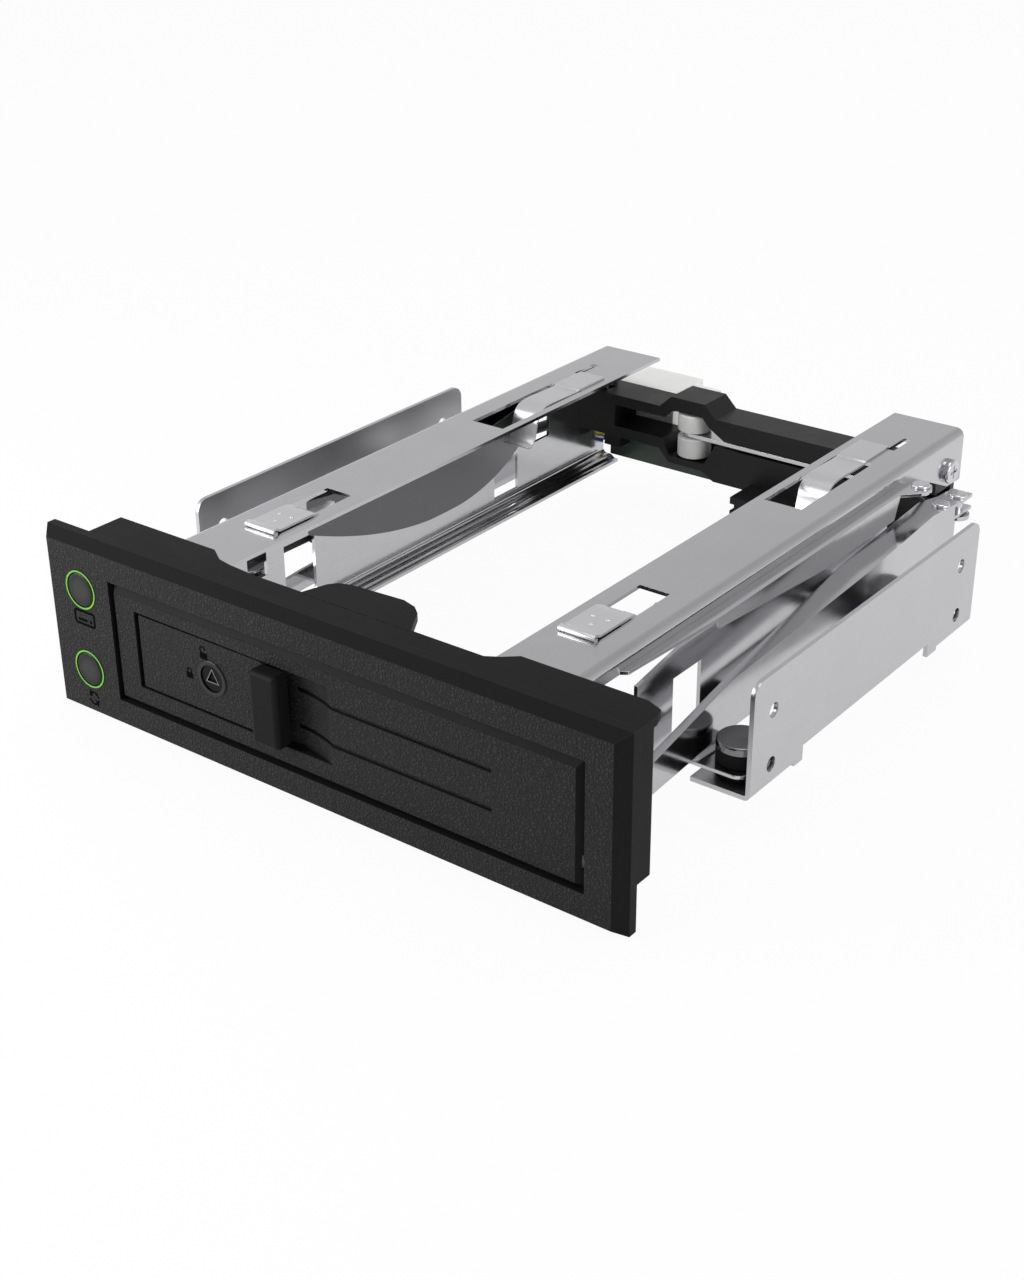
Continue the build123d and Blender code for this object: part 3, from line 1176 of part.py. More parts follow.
def ejector_arm():
    """Flat arm from the link, round its pivot, to the roller."""
    z0 = ARM_LOW
    z1 = ARM_LOW + ARM_THICK
    arm = upright(PIVOT_X, PIVOT_Y, PIVOT_BOSS, z0, z1)
    arm += upright(ROLLER_X, ROLLER_Y, ARM_HALF, z0, z1)
    arm += upright(ARM_PIN_X, ARM_PIN_Y, ARM_HALF, z0, z1)
    arm += flat_plate([
        (ROLLER_X, ROLLER_Y - ARM_HALF), (PIVOT_X, PIVOT_Y - ARM_HALF), (PIVOT_X, PIVOT_Y + ARM_HALF),
        (ROLLER_X, ROLLER_Y + ARM_HALF),
    ], z0, z1)
    arm += beam(PIVOT_X, PIVOT_Y, ARM_PIN_X, ARM_PIN_Y, ARM_HALF, z0, z1)
    arm -= upright(PIVOT_X, PIVOT_Y, PIVOT_RADIUS + RUN_GAP, z0 - 1, z1 + 1)
    arm -= upright(ROLLER_X, ROLLER_Y, AXLE_RADIUS, z0 - 1, z1 + 1)
    room = RIVET_RADIUS + 0.25
    shift = 1.5
    arm -= upright(ARM_PIN_X, ARM_PIN_Y, room, z0 - 1, z1 + 1)
    arm -= upright(ARM_PIN_X - shift, ARM_PIN_Y, room, z0 - 1, z1 + 1)
    return arm - block(ARM_PIN_X - shift, ARM_PIN_X, ARM_PIN_Y - room, ARM_PIN_Y + room, z0 - 1, z1 + 1)


def beam(x0, y0, x1, y1, half, z0, z1):
    """Flat bar between two points."""
    length = math.hypot(x1 - x0, y1 - y0)
    sx = -(y1 - y0) / length * half
    sy = (x1 - x0) / length * half
    corners = [(x0 + sx, y0 + sy), (x1 + sx, y1 + sy), (x1 - sx, y1 - sy), (x0 - sx, y0 - sy)]
    return flat_plate(corners, z0, z1)


def ejector_pivot():
    """Shoulder pin of the arm, pressed into the bar."""
    reach = 3.0 + SLOT_GAP
    return upright(PIVOT_X, PIVOT_Y, PIVOT_RADIUS, ARM_LOW - reach, ARM_LOW + ARM_THICK + reach)


def roller_axle():
    """Axle of the two roller halves."""
    return upright(ROLLER_X, ROLLER_Y, AXLE_RADIUS, ROLLER_BOTTOM - AXLE_END, ROLLER_TOP + AXLE_END)


def roller(z0, z1):
    """Barrel of the roller with soft edges."""
    barrel = upright(ROLLER_X, ROLLER_Y, ROLLER_RADIUS, z0, z1)
    barrel = fillet(barrel.edges(), 0.4)
    return barrel - upright(ROLLER_X, ROLLER_Y, AXLE_RADIUS + RUN_GAP, z0 - 1, z1 + 1)


def upper_roller():
    """Upper half of the roller."""
    return roller(ARM_LOW + ARM_THICK + ROLLER_GAP, ROLLER_TOP)


def lower_roller():
    """Lower half of the roller."""
    return roller(ROLLER_BOTTOM, ARM_LOW - ROLLER_GAP)


def tube(points, radius):
    """Round tube along straight runs joined by arcs as large as the runs allow."""
    path = [Vector(*point) for point in points]
    radii = []
    for before, here, after in zip(path, path[1:], path[2:]):
        turn = math.radians((here - before).get_angle(after - here))
        shorter = min((here - before).length, (after - here).length)
        radii.append(0.45 * shorter / math.tan(turn / 2))
    print("bend radii", [round(value, 1) for value in radii])
    line = FilletPolyline(*path, radius=radii)
    ring = Plane(origin=path[0], z_dir=path[1] - path[0]) * Circle(radius)
    return sweep(ring, path=line)


def sleeve_points():
    """Route of the sleeve along the left rail."""
    return [
        (LEAD_X, 38.0, LEAD_Z), (LEAD_X - 0.4, 66.0, LEAD_Z - 0.9), (LEAD_X, 96.0, LEAD_Z + 0.2),
        (LEAD_X - 0.5, 124.0, LEAD_Z - 0.8), (LEAD_X, 146.0, LEAD_Z - 1.2),
        (LEAD_X - 0.6, 160.0, LEAD_Z - 3.6),
    ]


def lead_sleeve():
    """Black sleeve round both wires."""
    return tube(sleeve_points(), SLEEVE_RADIUS)


def lead_clips():
    """Three clips that hold the sleeve to the web."""
    clips = []
    route = sleeve_points()
    half = CLIP_LENGTH / 2
    for near, shift in ((1, -2.0), (2, 4.0), (4, -6.0)):
        y = route[near][1] + shift
        z = route[near][2]
        clip = block(-RAIL_OUT - CLIP_REACH, -RAIL_OUT, y - half, y + half, z - CLIP_HALF, z + CLIP_HALF)
        clip = fillet(clip.edges().filter_by(Axis.Y).filter_by(lambda e: e.center().X < -RAIL_OUT - 4), 1.4)
        clips.append(clip - tube(sleeve_points(), SLEEVE_RADIUS + 0.02))
    return Compound(children=clips)


def wire(shift):
    """One wire's two bare stretches: to the front board and to the rear board."""
    start = sleeve_points()[0]
    end = sleeve_points()[-1]
    board_y = FRONT_BOARD_Y + BOARD
    front_z = FRONT_PLUG_Z + shift
    front = tube([
        (FRONT_PLUG_X, board_y + PLUG_DEPTH, front_z), (FRONT_PLUG_X, board_y + 8.0, front_z),
        (LEAD_X - 1.0, start[1] - 10.0, LEAD_Z - 0.6 + shift),
        (start[0], start[1] - WIRE_END, start[2] + shift),
    ], WIRE_RADIUS)
    rear_y = REAR_FACE_Y + 2.4
    rear_z = REAR_PLUG_Z + shift
    rear = tube([
        (end[0], end[1] + WIRE_END, end[2] + shift), (end[0] - 0.6, end[1] + 8.0, end[2] - 4.3 + shift),
        (-RAIL_OUT - 1.7, rear_y - 0.9, rear_z + 1.9),
        (PLUG_X - 4.0, rear_y, rear_z), (PLUG_X, rear_y, rear_z),
    ], WIRE_RADIUS)
    return Compound(children=[front, rear])


def lead_plugs():
    """Small plugs on the front and the rear board."""
    board_y = FRONT_BOARD_Y + BOARD
    front = block(FRONT_BOARD_RIGHT - PLUG_WIDTH, FRONT_BOARD_RIGHT, board_y, board_y + PLUG_DEPTH,
                  FRONT_PLUG_Z - PLUG_HALF, FRONT_PLUG_Z + PLUG_HALF)
    rear = block(PLUG_X, PLUG_X + REAR_PLUG_WIDTH, REAR_FACE_Y, REAR_FACE_Y + PLUG_DEPTH + 0.6,
                 REAR_PLUG_Z - PLUG_HALF, REAR_PLUG_Z + PLUG_HALF)
    return Compound(children=[front, rear])


def all_parts():
    """Every sub-part by name, counted from the front face."""
    wire_shift = WIRE_RADIUS + WIRE_SPACING
    return {
        "bezel_frame": bezel_frame(),
        "left_rail": left_rail(),
        "right_rail": right_rail(),
        "left_bay_bracket": left_bay_bracket(),
        "right_bay_bracket": right_bay_bracket(),
        "left_carrier": left_carrier(),
        "right_carrier": right_carrier(),
        "damper_rubbers": four_dampers(damper_rubber),
        "damper_caps": four_dampers(damper_cap),
        "rear_bar": rear_bar(),
        "rear_board": rear_board(),
        "board_screws": board_screws(),
        "bar_screws": bar_screws(),
        "bezel_screws": bezel_screws(),
        "drive_connector": drive_connector(),
        "drive_contacts": drive_contacts(),
        "power_socket": power_socket(),
        "power_pins": power_pins(),
        "data_socket": data_socket(),
        "data_contacts": data_contacts(),
        "left_front_clip": left_front_clip(),
        "right_front_clip": right_front_clip(),
        "left_rear_clip": left_rear_clip(),
        "right_rear_clip": right_rear_clip(),
        "side_spring": side_spring(),
        "link_guard": link_guard(),
        "guard_rivet": guard_rivet(),
        "upper_light_ring": light_ring(BUTTON_HIGH_Z),
        "lower_light_ring": light_ring(BUTTON_LOW_Z),
        "front_board": front_board(),
        "front_switches": front_switches(),
        "hinge_pin": hinge_pin(),
        "ejector_pivot": ejector_pivot(),
        "lead_sleeve": lead_sleeve(),
        "lead_clips": lead_clips(),
        "lead_plugs": lead_plugs(),
        "yellow_wire": wire(wire_shift),
        "blue_wire": wire(-wire_shift),
        "door_panel": door_panel(),
        "door_back": door_back(),
        "door_pads": door_pads(),
        "door_cam": door_cam(),
        "latch_panel": latch_panel(),
        "latch_bolt": latch_bolt(),
        "lock_ring": lock_ring(),
        "lock_barrel": lock_barrel(),
        "lock_cam": lock_cam(),
        "upper_button_cap": button_cap(BUTTON_HIGH_Z),
        "lower_button_cap": button_cap(BUTTON_LOW_Z),
        "push_link": push_link(),
        "link_rivets": link_rivets(),
        "ejector_arm": ejector_arm(),
        "roller_axle": roller_axle(),
        "upper_roller": upper_roller(),
        "lower_roller": lower_roller(),
    }


def write_parts():
    """Write each sub-part, moved so that the origin is under the middle of the whole."""
    os.makedirs("parts", exist_ok=True)
    for name, shape in all_parts().items():
        export_step(Pos(0, -CENTRE_Y, 0) * shape, f"parts/{name}.step")


write_parts()
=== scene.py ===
"""Finish of the hot swap drive cage: mouldings, sheet metal, springs, boards, lead, symbols and stage."""

import math

import bmesh
import bpy
import numpy as np
from bpy.props import FloatProperty, FloatVectorProperty, IntProperty, PointerProperty
from bpy.types import Operator, Panel, PropertyGroup
from mathutils import Matrix, Vector


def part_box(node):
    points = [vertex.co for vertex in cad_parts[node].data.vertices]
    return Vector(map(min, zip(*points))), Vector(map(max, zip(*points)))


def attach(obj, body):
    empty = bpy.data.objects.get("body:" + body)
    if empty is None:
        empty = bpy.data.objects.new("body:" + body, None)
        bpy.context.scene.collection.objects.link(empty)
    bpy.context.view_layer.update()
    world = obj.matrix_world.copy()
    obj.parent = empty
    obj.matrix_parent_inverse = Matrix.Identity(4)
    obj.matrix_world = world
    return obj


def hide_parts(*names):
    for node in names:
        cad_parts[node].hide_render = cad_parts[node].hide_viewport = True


bl_info = {
    "name": "Drive Cage Finish",
    "version": (1, 0, 0),
    "blender": (4, 5, 0),
    "location": "View3D > Sidebar > Drive Cage",
    "description": "Finishes a trayless hot swap drive cage and lights it",
    "category": "Object",
}

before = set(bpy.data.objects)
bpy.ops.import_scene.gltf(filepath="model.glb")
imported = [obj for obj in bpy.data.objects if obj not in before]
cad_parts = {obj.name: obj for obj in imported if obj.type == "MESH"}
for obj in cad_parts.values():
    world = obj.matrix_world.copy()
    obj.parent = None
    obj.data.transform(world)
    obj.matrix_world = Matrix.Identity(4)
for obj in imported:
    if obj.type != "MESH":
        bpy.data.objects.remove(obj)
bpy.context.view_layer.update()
MM = 0.001
FACE_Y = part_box("bezel_frame")[0].y
WHITE = (1, 1, 1, 1)


def greys(value):
    """Default of a grey colour property."""
    return (value / 255, value / 255, value / 255)


def tint(name, description, default):
    """Colour property, as it looks on a screen."""
    return FloatVectorProperty(name=name, description=description, subtype="COLOR_GAMMA",
                               size=3, min=0, max=1, default=default)


def length(name, description, default):
    """Length property, in metres."""
    return FloatProperty(name=name, description=description, default=default, min=0,
                         unit="LENGTH", precision=6)


class CageColours(PropertyGroup):
    """Colours of the finishes."""
    moulding: tint("Textured moulding", "Grained front faces of the bezel and the door", greys(41))
    polish: tint("Smooth moulding", "Smooth faces of the black mouldings", greys(27))
    bar: tint("Bar", "Rear bar, connectors and clips", greys(24))
    zinc: tint("Zinc", "Plated sheet of the rails, brackets and carriers", (0.80, 0.80, 0.81))
    spring: tint("Spring steel", "Clips and the bowed spring", (0.88, 0.88, 0.89))
    # The bowed spring's dark colour stands for a dark reflection on it: a painted reflection
    bow: tint("Bowed spring", "Dark steel of the bowed spring", (0.42, 0.42, 0.43))
    bright: tint("Bright steel", "Screws, rivets, pins and caps", (0.86, 0.86, 0.88))
    cap: tint("Damper caps", "Dark plated caps of the dampers", (0.52, 0.52, 0.53))
    # The lock ring is painted glossy black to stand for a steel ring's dark reflection: a painted reflection
    lock: tint("Lock ring", "Glossy ring round the lock", greys(12))
    barrel: tint("Lock barrel", "Face of the lock barrel", greys(10))
    print_black: tint("Printing", "Printed symbols", greys(2))
    pointer: tint("Pointer", "Light edge of the lock's pointer", greys(125))
    rubber: tint("Rubber", "Damper rubbers and door pads", greys(18))
    white: tint("White moulding", "Rollers, power socket and plugs", (0.97, 0.97, 0.96))
    guide: tint("Light guide", "Rings round the buttons", (0.40, 0.74, 0.12))
    # The rings' dark edge colour is painted shade, and the rings give off a faint painted glow
    guide_edge_shade: tint("Light guide edge", "Inner and outer edge of the rings", (0.05, 0.16, 0.02))
    # The buttons' middle colour is a painted highlight and their rim colour is painted shade
    button: tint("Buttons", "Middle of the button caps", greys(44))
    button_rim_shade: tint("Button rims", "Rim of the button caps", greys(10))
    board: tint("Board", "Solder mask of the boards", (0.02, 0.15, 0.08))
    track: tint("Tracks", "Covered copper tracks of the boards", (0.05, 0.27, 0.14))
    gold: tint("Gold", "Connector contacts", (0.90, 0.71, 0.33))
    yellow: tint("Yellow wire", "Sheath of the yellow wire", (0.93, 0.74, 0.09))
    blue: tint("Blue wire", "Sheath of the blue wire", (0.10, 0.16, 0.62))


class CageSizes(PropertyGroup):
    """Sizes of the surface detail."""
    sheet_edge: length("Sheet edge", "Rounding of the cut edges of sheet metal", 0.09 * MM)
    moulding_edge: length("Moulding edge", "Rounding of the edges of mouldings", 0.18 * MM)
    fine_edge: length("Fine edge", "Rounding of the edges of small parts", 0.05 * MM)
    grain_cell: length("Grain cell", "Width of one cell of the moulded grain", 0.8 * MM)
    grain_depth: length("Grain depth", "Depth of the moulded grain", 0.26 * MM)
    clip_sheet: length("Clip sheet", "Thickness of the clips' sheet", 0.5 * MM)
    speckle: length("Speckle", "Width of the plating's speckle", 0.45 * MM)
    stroke: length("Stroke", "Width of a line in a bezel symbol", 0.55 * MM)
    fine_stroke: length("Fine stroke", "Width of a line in a latch symbol", 0.32 * MM)
    lift: length("Lift", "Height of a symbol over its face", 0.03 * MM)
    root: length("Root", "Depth of a symbol under its face", 0.05 * MM)
    track_width: length("Track", "Width of a copper track", 0.35 * MM)
    around: IntProperty(name="Facets", description="Facets round a tube or a dome", default=20, min=8)


class CageStage(PropertyGroup):
    """Camera and light."""
    azimuth: FloatProperty(name="Azimuth", description="Camera's turn about the vertical",
                           default=math.radians(37.567), subtype="ANGLE")
    elevation: FloatProperty(name="Elevation", description="Camera's height above the horizon",
                             default=math.radians(27.283), subtype="ANGLE")
    roll: FloatProperty(name="Roll", description="Camera's turn about its own axis",
                        default=math.radians(-0.501), subtype="ANGLE")
    place: FloatVectorProperty(name="Camera", description="Place of the camera", subtype="TRANSLATION",
                               size=3, default=(0.229865, -0.325276, 0.205173))
    lens: FloatProperty(name="Lens", description="Focal length in millimetres", default=55.0)
    ambient: FloatProperty(name="Ambient", description="Even light from all round", default=0.88)
    key: FloatProperty(name="Key", description="Power of the front left lamp", default=1.2, unit="POWER")
    fill: FloatProperty(name="Fill", description="Power of the right lamp", default=1.6, unit="POWER")
    top: FloatProperty(name="Top", description="Power of the lamp overhead", default=1.3, unit="POWER")
    floor_size: FloatProperty(name="Floor", description="Side of the floor", default=6.0, unit="LENGTH")


def linear(colour):
    """Screen colour as a light value: a power of 2.4 above the short straight part at black."""
    value = np.array(colour[:3], float)
    curve = np.where(value <= 0.04045, value / 12.92, ((value + 0.055) / 1.055) ** 2.4)
    return (*curve.tolist(), 1.0)


def paint(name):
    """Light value of one of the colour settings."""
    return linear(getattr(bpy.context.scene.cage_colours, name))


# Meshes

def mesh_object(name, points, faces):
    """Object at the origin with that mesh, its faces turned outwards."""
    mesh = bpy.data.meshes.new(name)
    mesh.from_pydata(np.asarray(points, float).reshape(-1, 3).tolist(), [], faces)
    work = bmesh.new()
    work.from_mesh(mesh)
    bmesh.ops.recalc_face_normals(work, faces=work.faces)
    work.to_mesh(mesh)
    work.free()
    piece = bpy.data.objects.new(name, mesh)
    bpy.context.scene.collection.objects.link(piece)
    return piece


def joined(shapes):
    """Several shapes, each its points and faces, as one."""
    points = []
    faces = []
    start = 0
    for shape_points, shape_faces in shapes:
        points.append(shape_points)
        faces += [[start + corner for corner in face] for face in shape_faces]
        start += len(shape_points)
    return np.vstack(points), faces


def grid(points, closed_rows=False, caps=False):
    """Skin over a grid of points whose columns go round: a quad for each cell, and flat ends if asked.

    points has the shape rows, columns, 3.
    """
    rows, columns = points.shape[:2]
    index = np.arange(rows * columns).reshape(rows, columns)
    index = np.hstack([index, index[:, :1]])
    if closed_rows:
        index = np.vstack([index, index[:1]])
    quads = np.stack([index[:-1, :-1], index[:-1, 1:], index[1:, 1:], index[1:, :-1]], axis=-1)
    faces = quads.reshape(-1, 4).tolist()
    if caps:
        faces.append(list(range(columns)))
        faces.append(list(range((rows - 1) * columns, rows * columns)))
    return points.reshape(-1, 3), faces


def on_plane(plan, y):
    """Points with the X and Z of the plan, at one Y."""
    return np.column_stack([plan[:, 0], np.full(len(plan), y), plan[:, 1]])


def plate(plan, y0, y1):
    """Flat plate: its outline in X and Z carried from y0 to y1."""
    return grid(np.stack([on_plane(plan, y0), on_plane(plan, y1)]), caps=True)


def band(path, width, y0, y1, closed=False):
    """Flat line of even width: the path moved half the width along its normal to each side.

    At a corner the normal is the sum of its neighbours' normals, made longer by the corner's miter.
    """
    if closed:
        steps = np.roll(path, -1, axis=0) - path
    else:
        steps = np.diff(path, axis=0)
        steps = np.vstack([steps, steps[-1:]])
    steps /= np.linalg.norm(steps, axis=1)[:, None]
    before = np.roll(steps, 1, axis=0)
    if not closed:
        before[0] = steps[0]
        before[-1] = steps[-2]
        steps[-1] = steps[-2]
    normals = np.column_stack([-(steps + before)[:, 1], (steps + before)[:, 0]])
    miter = 1 + np.sum(steps * before, axis=1)
    offset = normals / miter[:, None] * width / 2
    ring = [on_plane(path + offset, y0), on_plane(path - offset, y0),
            on_plane(path - offset, y1), on_plane(path + offset, y1)]
    return grid(np.stack(ring, axis=1), closed_rows=closed, caps=not closed)


def arc(x, z, radius, start, end, steps):
    """Points on a circle about (x, z) between two angles in degrees."""
    angle = np.radians(np.linspace(start, end, steps))
    return np.column_stack([x + radius * np.cos(angle), z + radius * np.sin(angle)])


def round_box(x, z, width, height, corner):
    """Outline of a rectangle about (x, z) with a quarter circle at each corner."""
    right = width / 2 - corner
    top = height / 2 - corner
    return np.vstack([
        arc(x + right, z + top, corner, 0, 90, 6), arc(x - right, z + top, corner, 90, 180, 6),
        arc(x - right, z - top, corner, 180, 270, 6), arc(x + right, z - top, corner, 270, 360, 6),
    ])


DOME_STEPS = (0, 30, 55, 75, 88)


def dome(x, z, y, radius, height, around):
    """Round drop on a face at y: its radius is the cosine and its height the sine of the same angle."""
    rise = np.radians(np.array(DOME_STEPS))[:, None]
    turn = np.linspace(0, 2 * math.pi, around, endpoint=False)[None, :]
    radii = radius * np.cos(rise)
    points = np.stack([x + radii * np.cos(turn), y + height * np.sin(rise) + 0 * turn,
                       z + radii * np.sin(turn)], axis=-1)
    return grid(points, caps=True)


def brick(x0, x1, y0, y1, z0, z1):
    """Block between two corners, as a plate with a square outline."""
    plan = np.array([(x0, z0), (x1, z0), (x1, z1), (x0, z1)], float)
    return plate(plan, y0, y1)


def smooth_line(route):
    """Points read along the smooth line that has the route's points as its control points."""
    curve = bpy.data.curves.new("route", "CURVE")
    curve.dimensions = "3D"
    curve.resolution_u = 12
    spline = curve.splines.new("NURBS")
    spline.points.add(len(route) - 1)
    weighted = np.column_stack([route, np.ones(len(route))])
    spline.points.foreach_set("co", weighted.ravel())
    spline.order_u = 3
    spline.use_endpoint_u = True
    holder = bpy.data.objects.new("route", curve)
    bpy.context.scene.collection.objects.link(holder)
    line = bpy.data.meshes.new_from_object(holder)
    points = np.zeros(len(line.vertices) * 3)
    line.vertices.foreach_get("co", points)
    bpy.data.objects.remove(holder)
    bpy.data.meshes.remove(line)
    bpy.data.curves.remove(curve)
    return points.reshape(-1, 3)


def tube(line, radius, around, ripple=0.0):
    """Round tube about a line: a circle square to it at each point, the radius times one plus a ripple.

    The ripple is a sum of three sines of the length along the line and of the angle round it.
    """
    along = np.gradient(line, axis=0)
    along /= np.linalg.norm(along, axis=1)[:, None]
    side = np.cross(along, (0, 0, 1.0))
    side /= np.linalg.norm(side, axis=1)[:, None]
    up = np.cross(side, along)
    turn = np.linspace(0, 2 * math.pi, around, endpoint=False)[None, :]
    steps = np.linalg.norm(np.diff(line, axis=0), axis=1)
    reach = np.concatenate([[0], np.cumsum(steps)])[:, None] / MM
    wave = np.sin(2.1 * reach + 2 * turn) + np.sin(3.7 * reach - turn)
    wave = wave + 0.6 * np.sin(0.9 * reach + 3 * turn)
    radii = (radius * (1 + ripple * wave))[..., None]
    ring = np.cos(turn)[..., None] * side[:, None, :] + np.sin(turn)[..., None] * up[:, None, :]
    return grid(line[:, None, :] + radii * ring, caps=True)


def smooth_faces(piece):
    """Smooth shading over the whole piece."""
    mesh = piece.data
    mesh.polygons.foreach_set("use_smooth", np.ones(len(mesh.polygons), bool))


def smooth_skin():
    """Geometry node group that shades every face and edge smooth: the rounded edges carry the corners."""
    name = "smooth_skin"
    tree = bpy.data.node_groups.get(name)
    if tree:
        return tree
    tree = bpy.data.node_groups.new(name, "GeometryNodeTree")
    for direction in ("INPUT", "OUTPUT"):
        tree.interface.new_socket(name="Geometry", in_out=direction, socket_type="NodeSocketGeometry")
    last = tree.nodes.new("NodeGroupInput")
    for domain in ("FACE", "EDGE"):
        step = tree.nodes.new("GeometryNodeSetShadeSmooth")
        step.domain = domain
        tree.links.new(last.outputs[0], step.inputs["Geometry"])
        last = step
    tree.links.new(last.outputs[0], tree.nodes.new("NodeGroupOutput").inputs[0])
    return tree


WELD_REACH = 0.001 * MM
FLAT_ANGLE = math.radians(0.5)


def soften(piece, width, segments=2, angle=30.0):
    """Rounded edges: doubled points welded, flat faces joined, sharp edges bevelled, all shaded smooth."""
    weld = piece.modifiers.new("weld", "WELD")
    weld.merge_threshold = WELD_REACH
    flatten = piece.modifiers.new("flatten", "DECIMATE")
    flatten.decimate_type = "DISSOLVE"
    flatten.angle_limit = FLAT_ANGLE
    edges = piece.modifiers.new("edges", "BEVEL")
    edges.width = width
    edges.segments = segments
    edges.limit_method = "ANGLE"
    edges.angle_limit = math.radians(angle)
    smooth = piece.modifiers.new("smooth", "NODES")
    smooth.node_group = smooth_skin()
    piece.modifiers.new("shade", "WEIGHTED_NORMAL")


# Shader nodes

def put(tree, kind, inputs=None, **settings):
    """Node of a kind, with its settings, and with its inputs set or linked by name or number."""
    node = tree.nodes.new("ShaderNode" + kind)
    for name, value in settings.items():
        setattr(node, name, value)
    for name, value in (inputs or {}).items():
        if isinstance(value, bpy.types.NodeSocket):
            tree.links.new(value, node.inputs[name])
        else:
            node.inputs[name].default_value = value
    return node


def maths(tree, operation, first, second=0.0):
    """Result of one sum."""
    return put(tree, "Math", {0: first, 1: second}, operation=operation).outputs[0]


def remap(tree, value, low, high, to_low=0.0, to_high=1.0):
    """Value carried smoothly from one range to another and held at the ends."""
    inputs = {"Value": value, "From Min": low, "From Max": high, "To Min": to_low, "To Max": to_high}
    return put(tree, "MapRange", inputs, interpolation_type="SMOOTHSTEP").outputs[0]


def spread(tree, value, low, high):
    """Value from 0 to 1 carried to another range in a straight line."""
    return put(tree, "MapRange", {"Value": value, "To Min": low, "To Max": high}).outputs[0]


def shaded(tree, colour, factor):
    """Colour times a factor."""
    inputs = {0: 1.0, 6: colour, 7: factor}
    return put(tree, "Mix", inputs, data_type="RGBA", blend_type="MULTIPLY").outputs[2]


def mixed(tree, factor, first, second):
    """First colour where the factor is 0 and the second where it is 1."""
    return put(tree, "Mix", {0: factor, 6: first, 7: second}, data_type="RGBA").outputs[2]


def object_point(tree):
    """Place on the piece in metres."""
    return put(tree, "TexCoord").outputs["Object"]


def noise(tree, point, size, detail=2.0):
    """Soft noise whose cells are about the given size."""
    scale = maths(tree, "DIVIDE", 1.0, size)
    return put(tree, "TexNoise", {"Vector": point, "Scale": scale, "Detail": detail}).outputs[0]


def effect(name, inputs, outputs, build):
    """Shader node group with named number inputs and outputs, made once."""
    tree = bpy.data.node_groups.get(name)
    if tree:
        return tree
    tree = bpy.data.node_groups.new(name, "ShaderNodeTree")
    for label, default in inputs.items():
        socket = tree.interface.new_socket(name=label, in_out="INPUT", socket_type="NodeSocketFloat")
        socket.default_value = default
    for label in outputs:
        tree.interface.new_socket(name=label, in_out="OUTPUT", socket_type="NodeSocketFloat")
    source = tree.nodes.new("NodeGroupInput").outputs
    target = tree.nodes.new("NodeGroupOutput").inputs
    for label, value in build(tree, source).items():
        tree.links.new(value, target[label])
    return tree


def moulded_grain():
    """Leather-like grain of a textured mould: rounded cells, the creases between them, and fine dots; its
    Shade paints shade in the creases and highlight on the crowns.
    """
    def build(tree, source):
        point = object_point(tree)
        per_cell = maths(tree, "DIVIDE", 1.0, source["Cell"])
        scaled = put(tree, "VectorMath", {0: point, 3: per_cell}, operation="SCALE").outputs[0]
        bend = put(tree, "TexNoise", {"Vector": scaled, "Scale": 1.3, "Detail": 1.0}).outputs[1]
        bending = {0: bend, 1: (0.9, 0.9, 0.9), 2: scaled}
        bent = put(tree, "VectorMath", bending, operation="MULTIPLY_ADD").outputs[0]
        spacing = {"Vector": bent, "Scale": 1.0}
        cells = put(tree, "TexVoronoi", spacing, feature="DISTANCE_TO_EDGE").outputs[0]
        dots = put(tree, "TexNoise", {"Vector": scaled, "Scale": 3.4, "Detail": 2.0}).outputs[0]
        crown = remap(tree, cells, 0.0, 0.32)
        height = maths(tree, "ADD", maths(tree, "MULTIPLY", crown, 0.7), maths(tree, "MULTIPLY", dots, 0.3))
        # Shade follows the height: painted shade in the creases and painted highlight on the crowns
        return {"Height": height, "Shade": spread(tree, height, 0.5, 1.5)}
    return effect("moulded_grain", {"Cell": 0.0006}, ["Height", "Shade"], build)


def plated_sheet():
    """Zinc on rolled sheet: a fine speckle, faint rolling lines along the depth and wide soft clouds."""
    def build(tree, source):
        point = object_point(tree)
        fine = noise(tree, point, source["Speckle"], 3.0)
        along_depth = {0: point, 1: (1.0, 0.06, 1.0)}
        stretched = put(tree, "VectorMath", along_depth, operation="MULTIPLY").outputs[0]
        lines = noise(tree, stretched, source["Speckle"], 2.0)
        clouds = noise(tree, point, maths(tree, "MULTIPLY", source["Speckle"], 40.0), 2.0)
        both = maths(tree, "ADD", maths(tree, "MULTIPLY", fine, 0.6), maths(tree, "MULTIPLY", lines, 0.4))
        shade = maths(tree, "MULTIPLY", spread(tree, both, 0.90, 1.10), spread(tree, clouds, 0.95, 1.05))
        rough = maths(tree, "ADD", spread(tree, both, -0.04, 0.04), spread(tree, clouds, -0.03, 0.03))
        return {"Shade": shade, "Rough": rough, "Height": both}
    return effect("plated_sheet", {"Speckle": 0.00045}, ["Shade", "Rough", "Height"], build)


def edge_wear():
    """Mask of the edges: how far the normal rounded over the radius turns from the face's own. It lightens
    edges as wear and as a painted highlight.
    """
    def build(tree, source):
        rounded = put(tree, "Bevel", {"Radius": source["Radius"]}, samples=6).outputs[0]
        own = put(tree, "NewGeometry").outputs["True Normal"]
        turned = put(tree, "VectorMath", {0: rounded, 1: own}, operation="DOT_PRODUCT").outputs["Value"]
        broken = noise(tree, object_point(tree), maths(tree, "MULTIPLY", source["Radius"], 6.0), 3.0)
        edge = remap(tree, turned, 0.995, 0.90)
        return {"Mask": maths(tree, "MULTIPLY", edge, spread(tree, broken, 0.5, 1.2))}
    return effect("edge_wear", {"Radius": 0.0002}, ["Mask"], build)


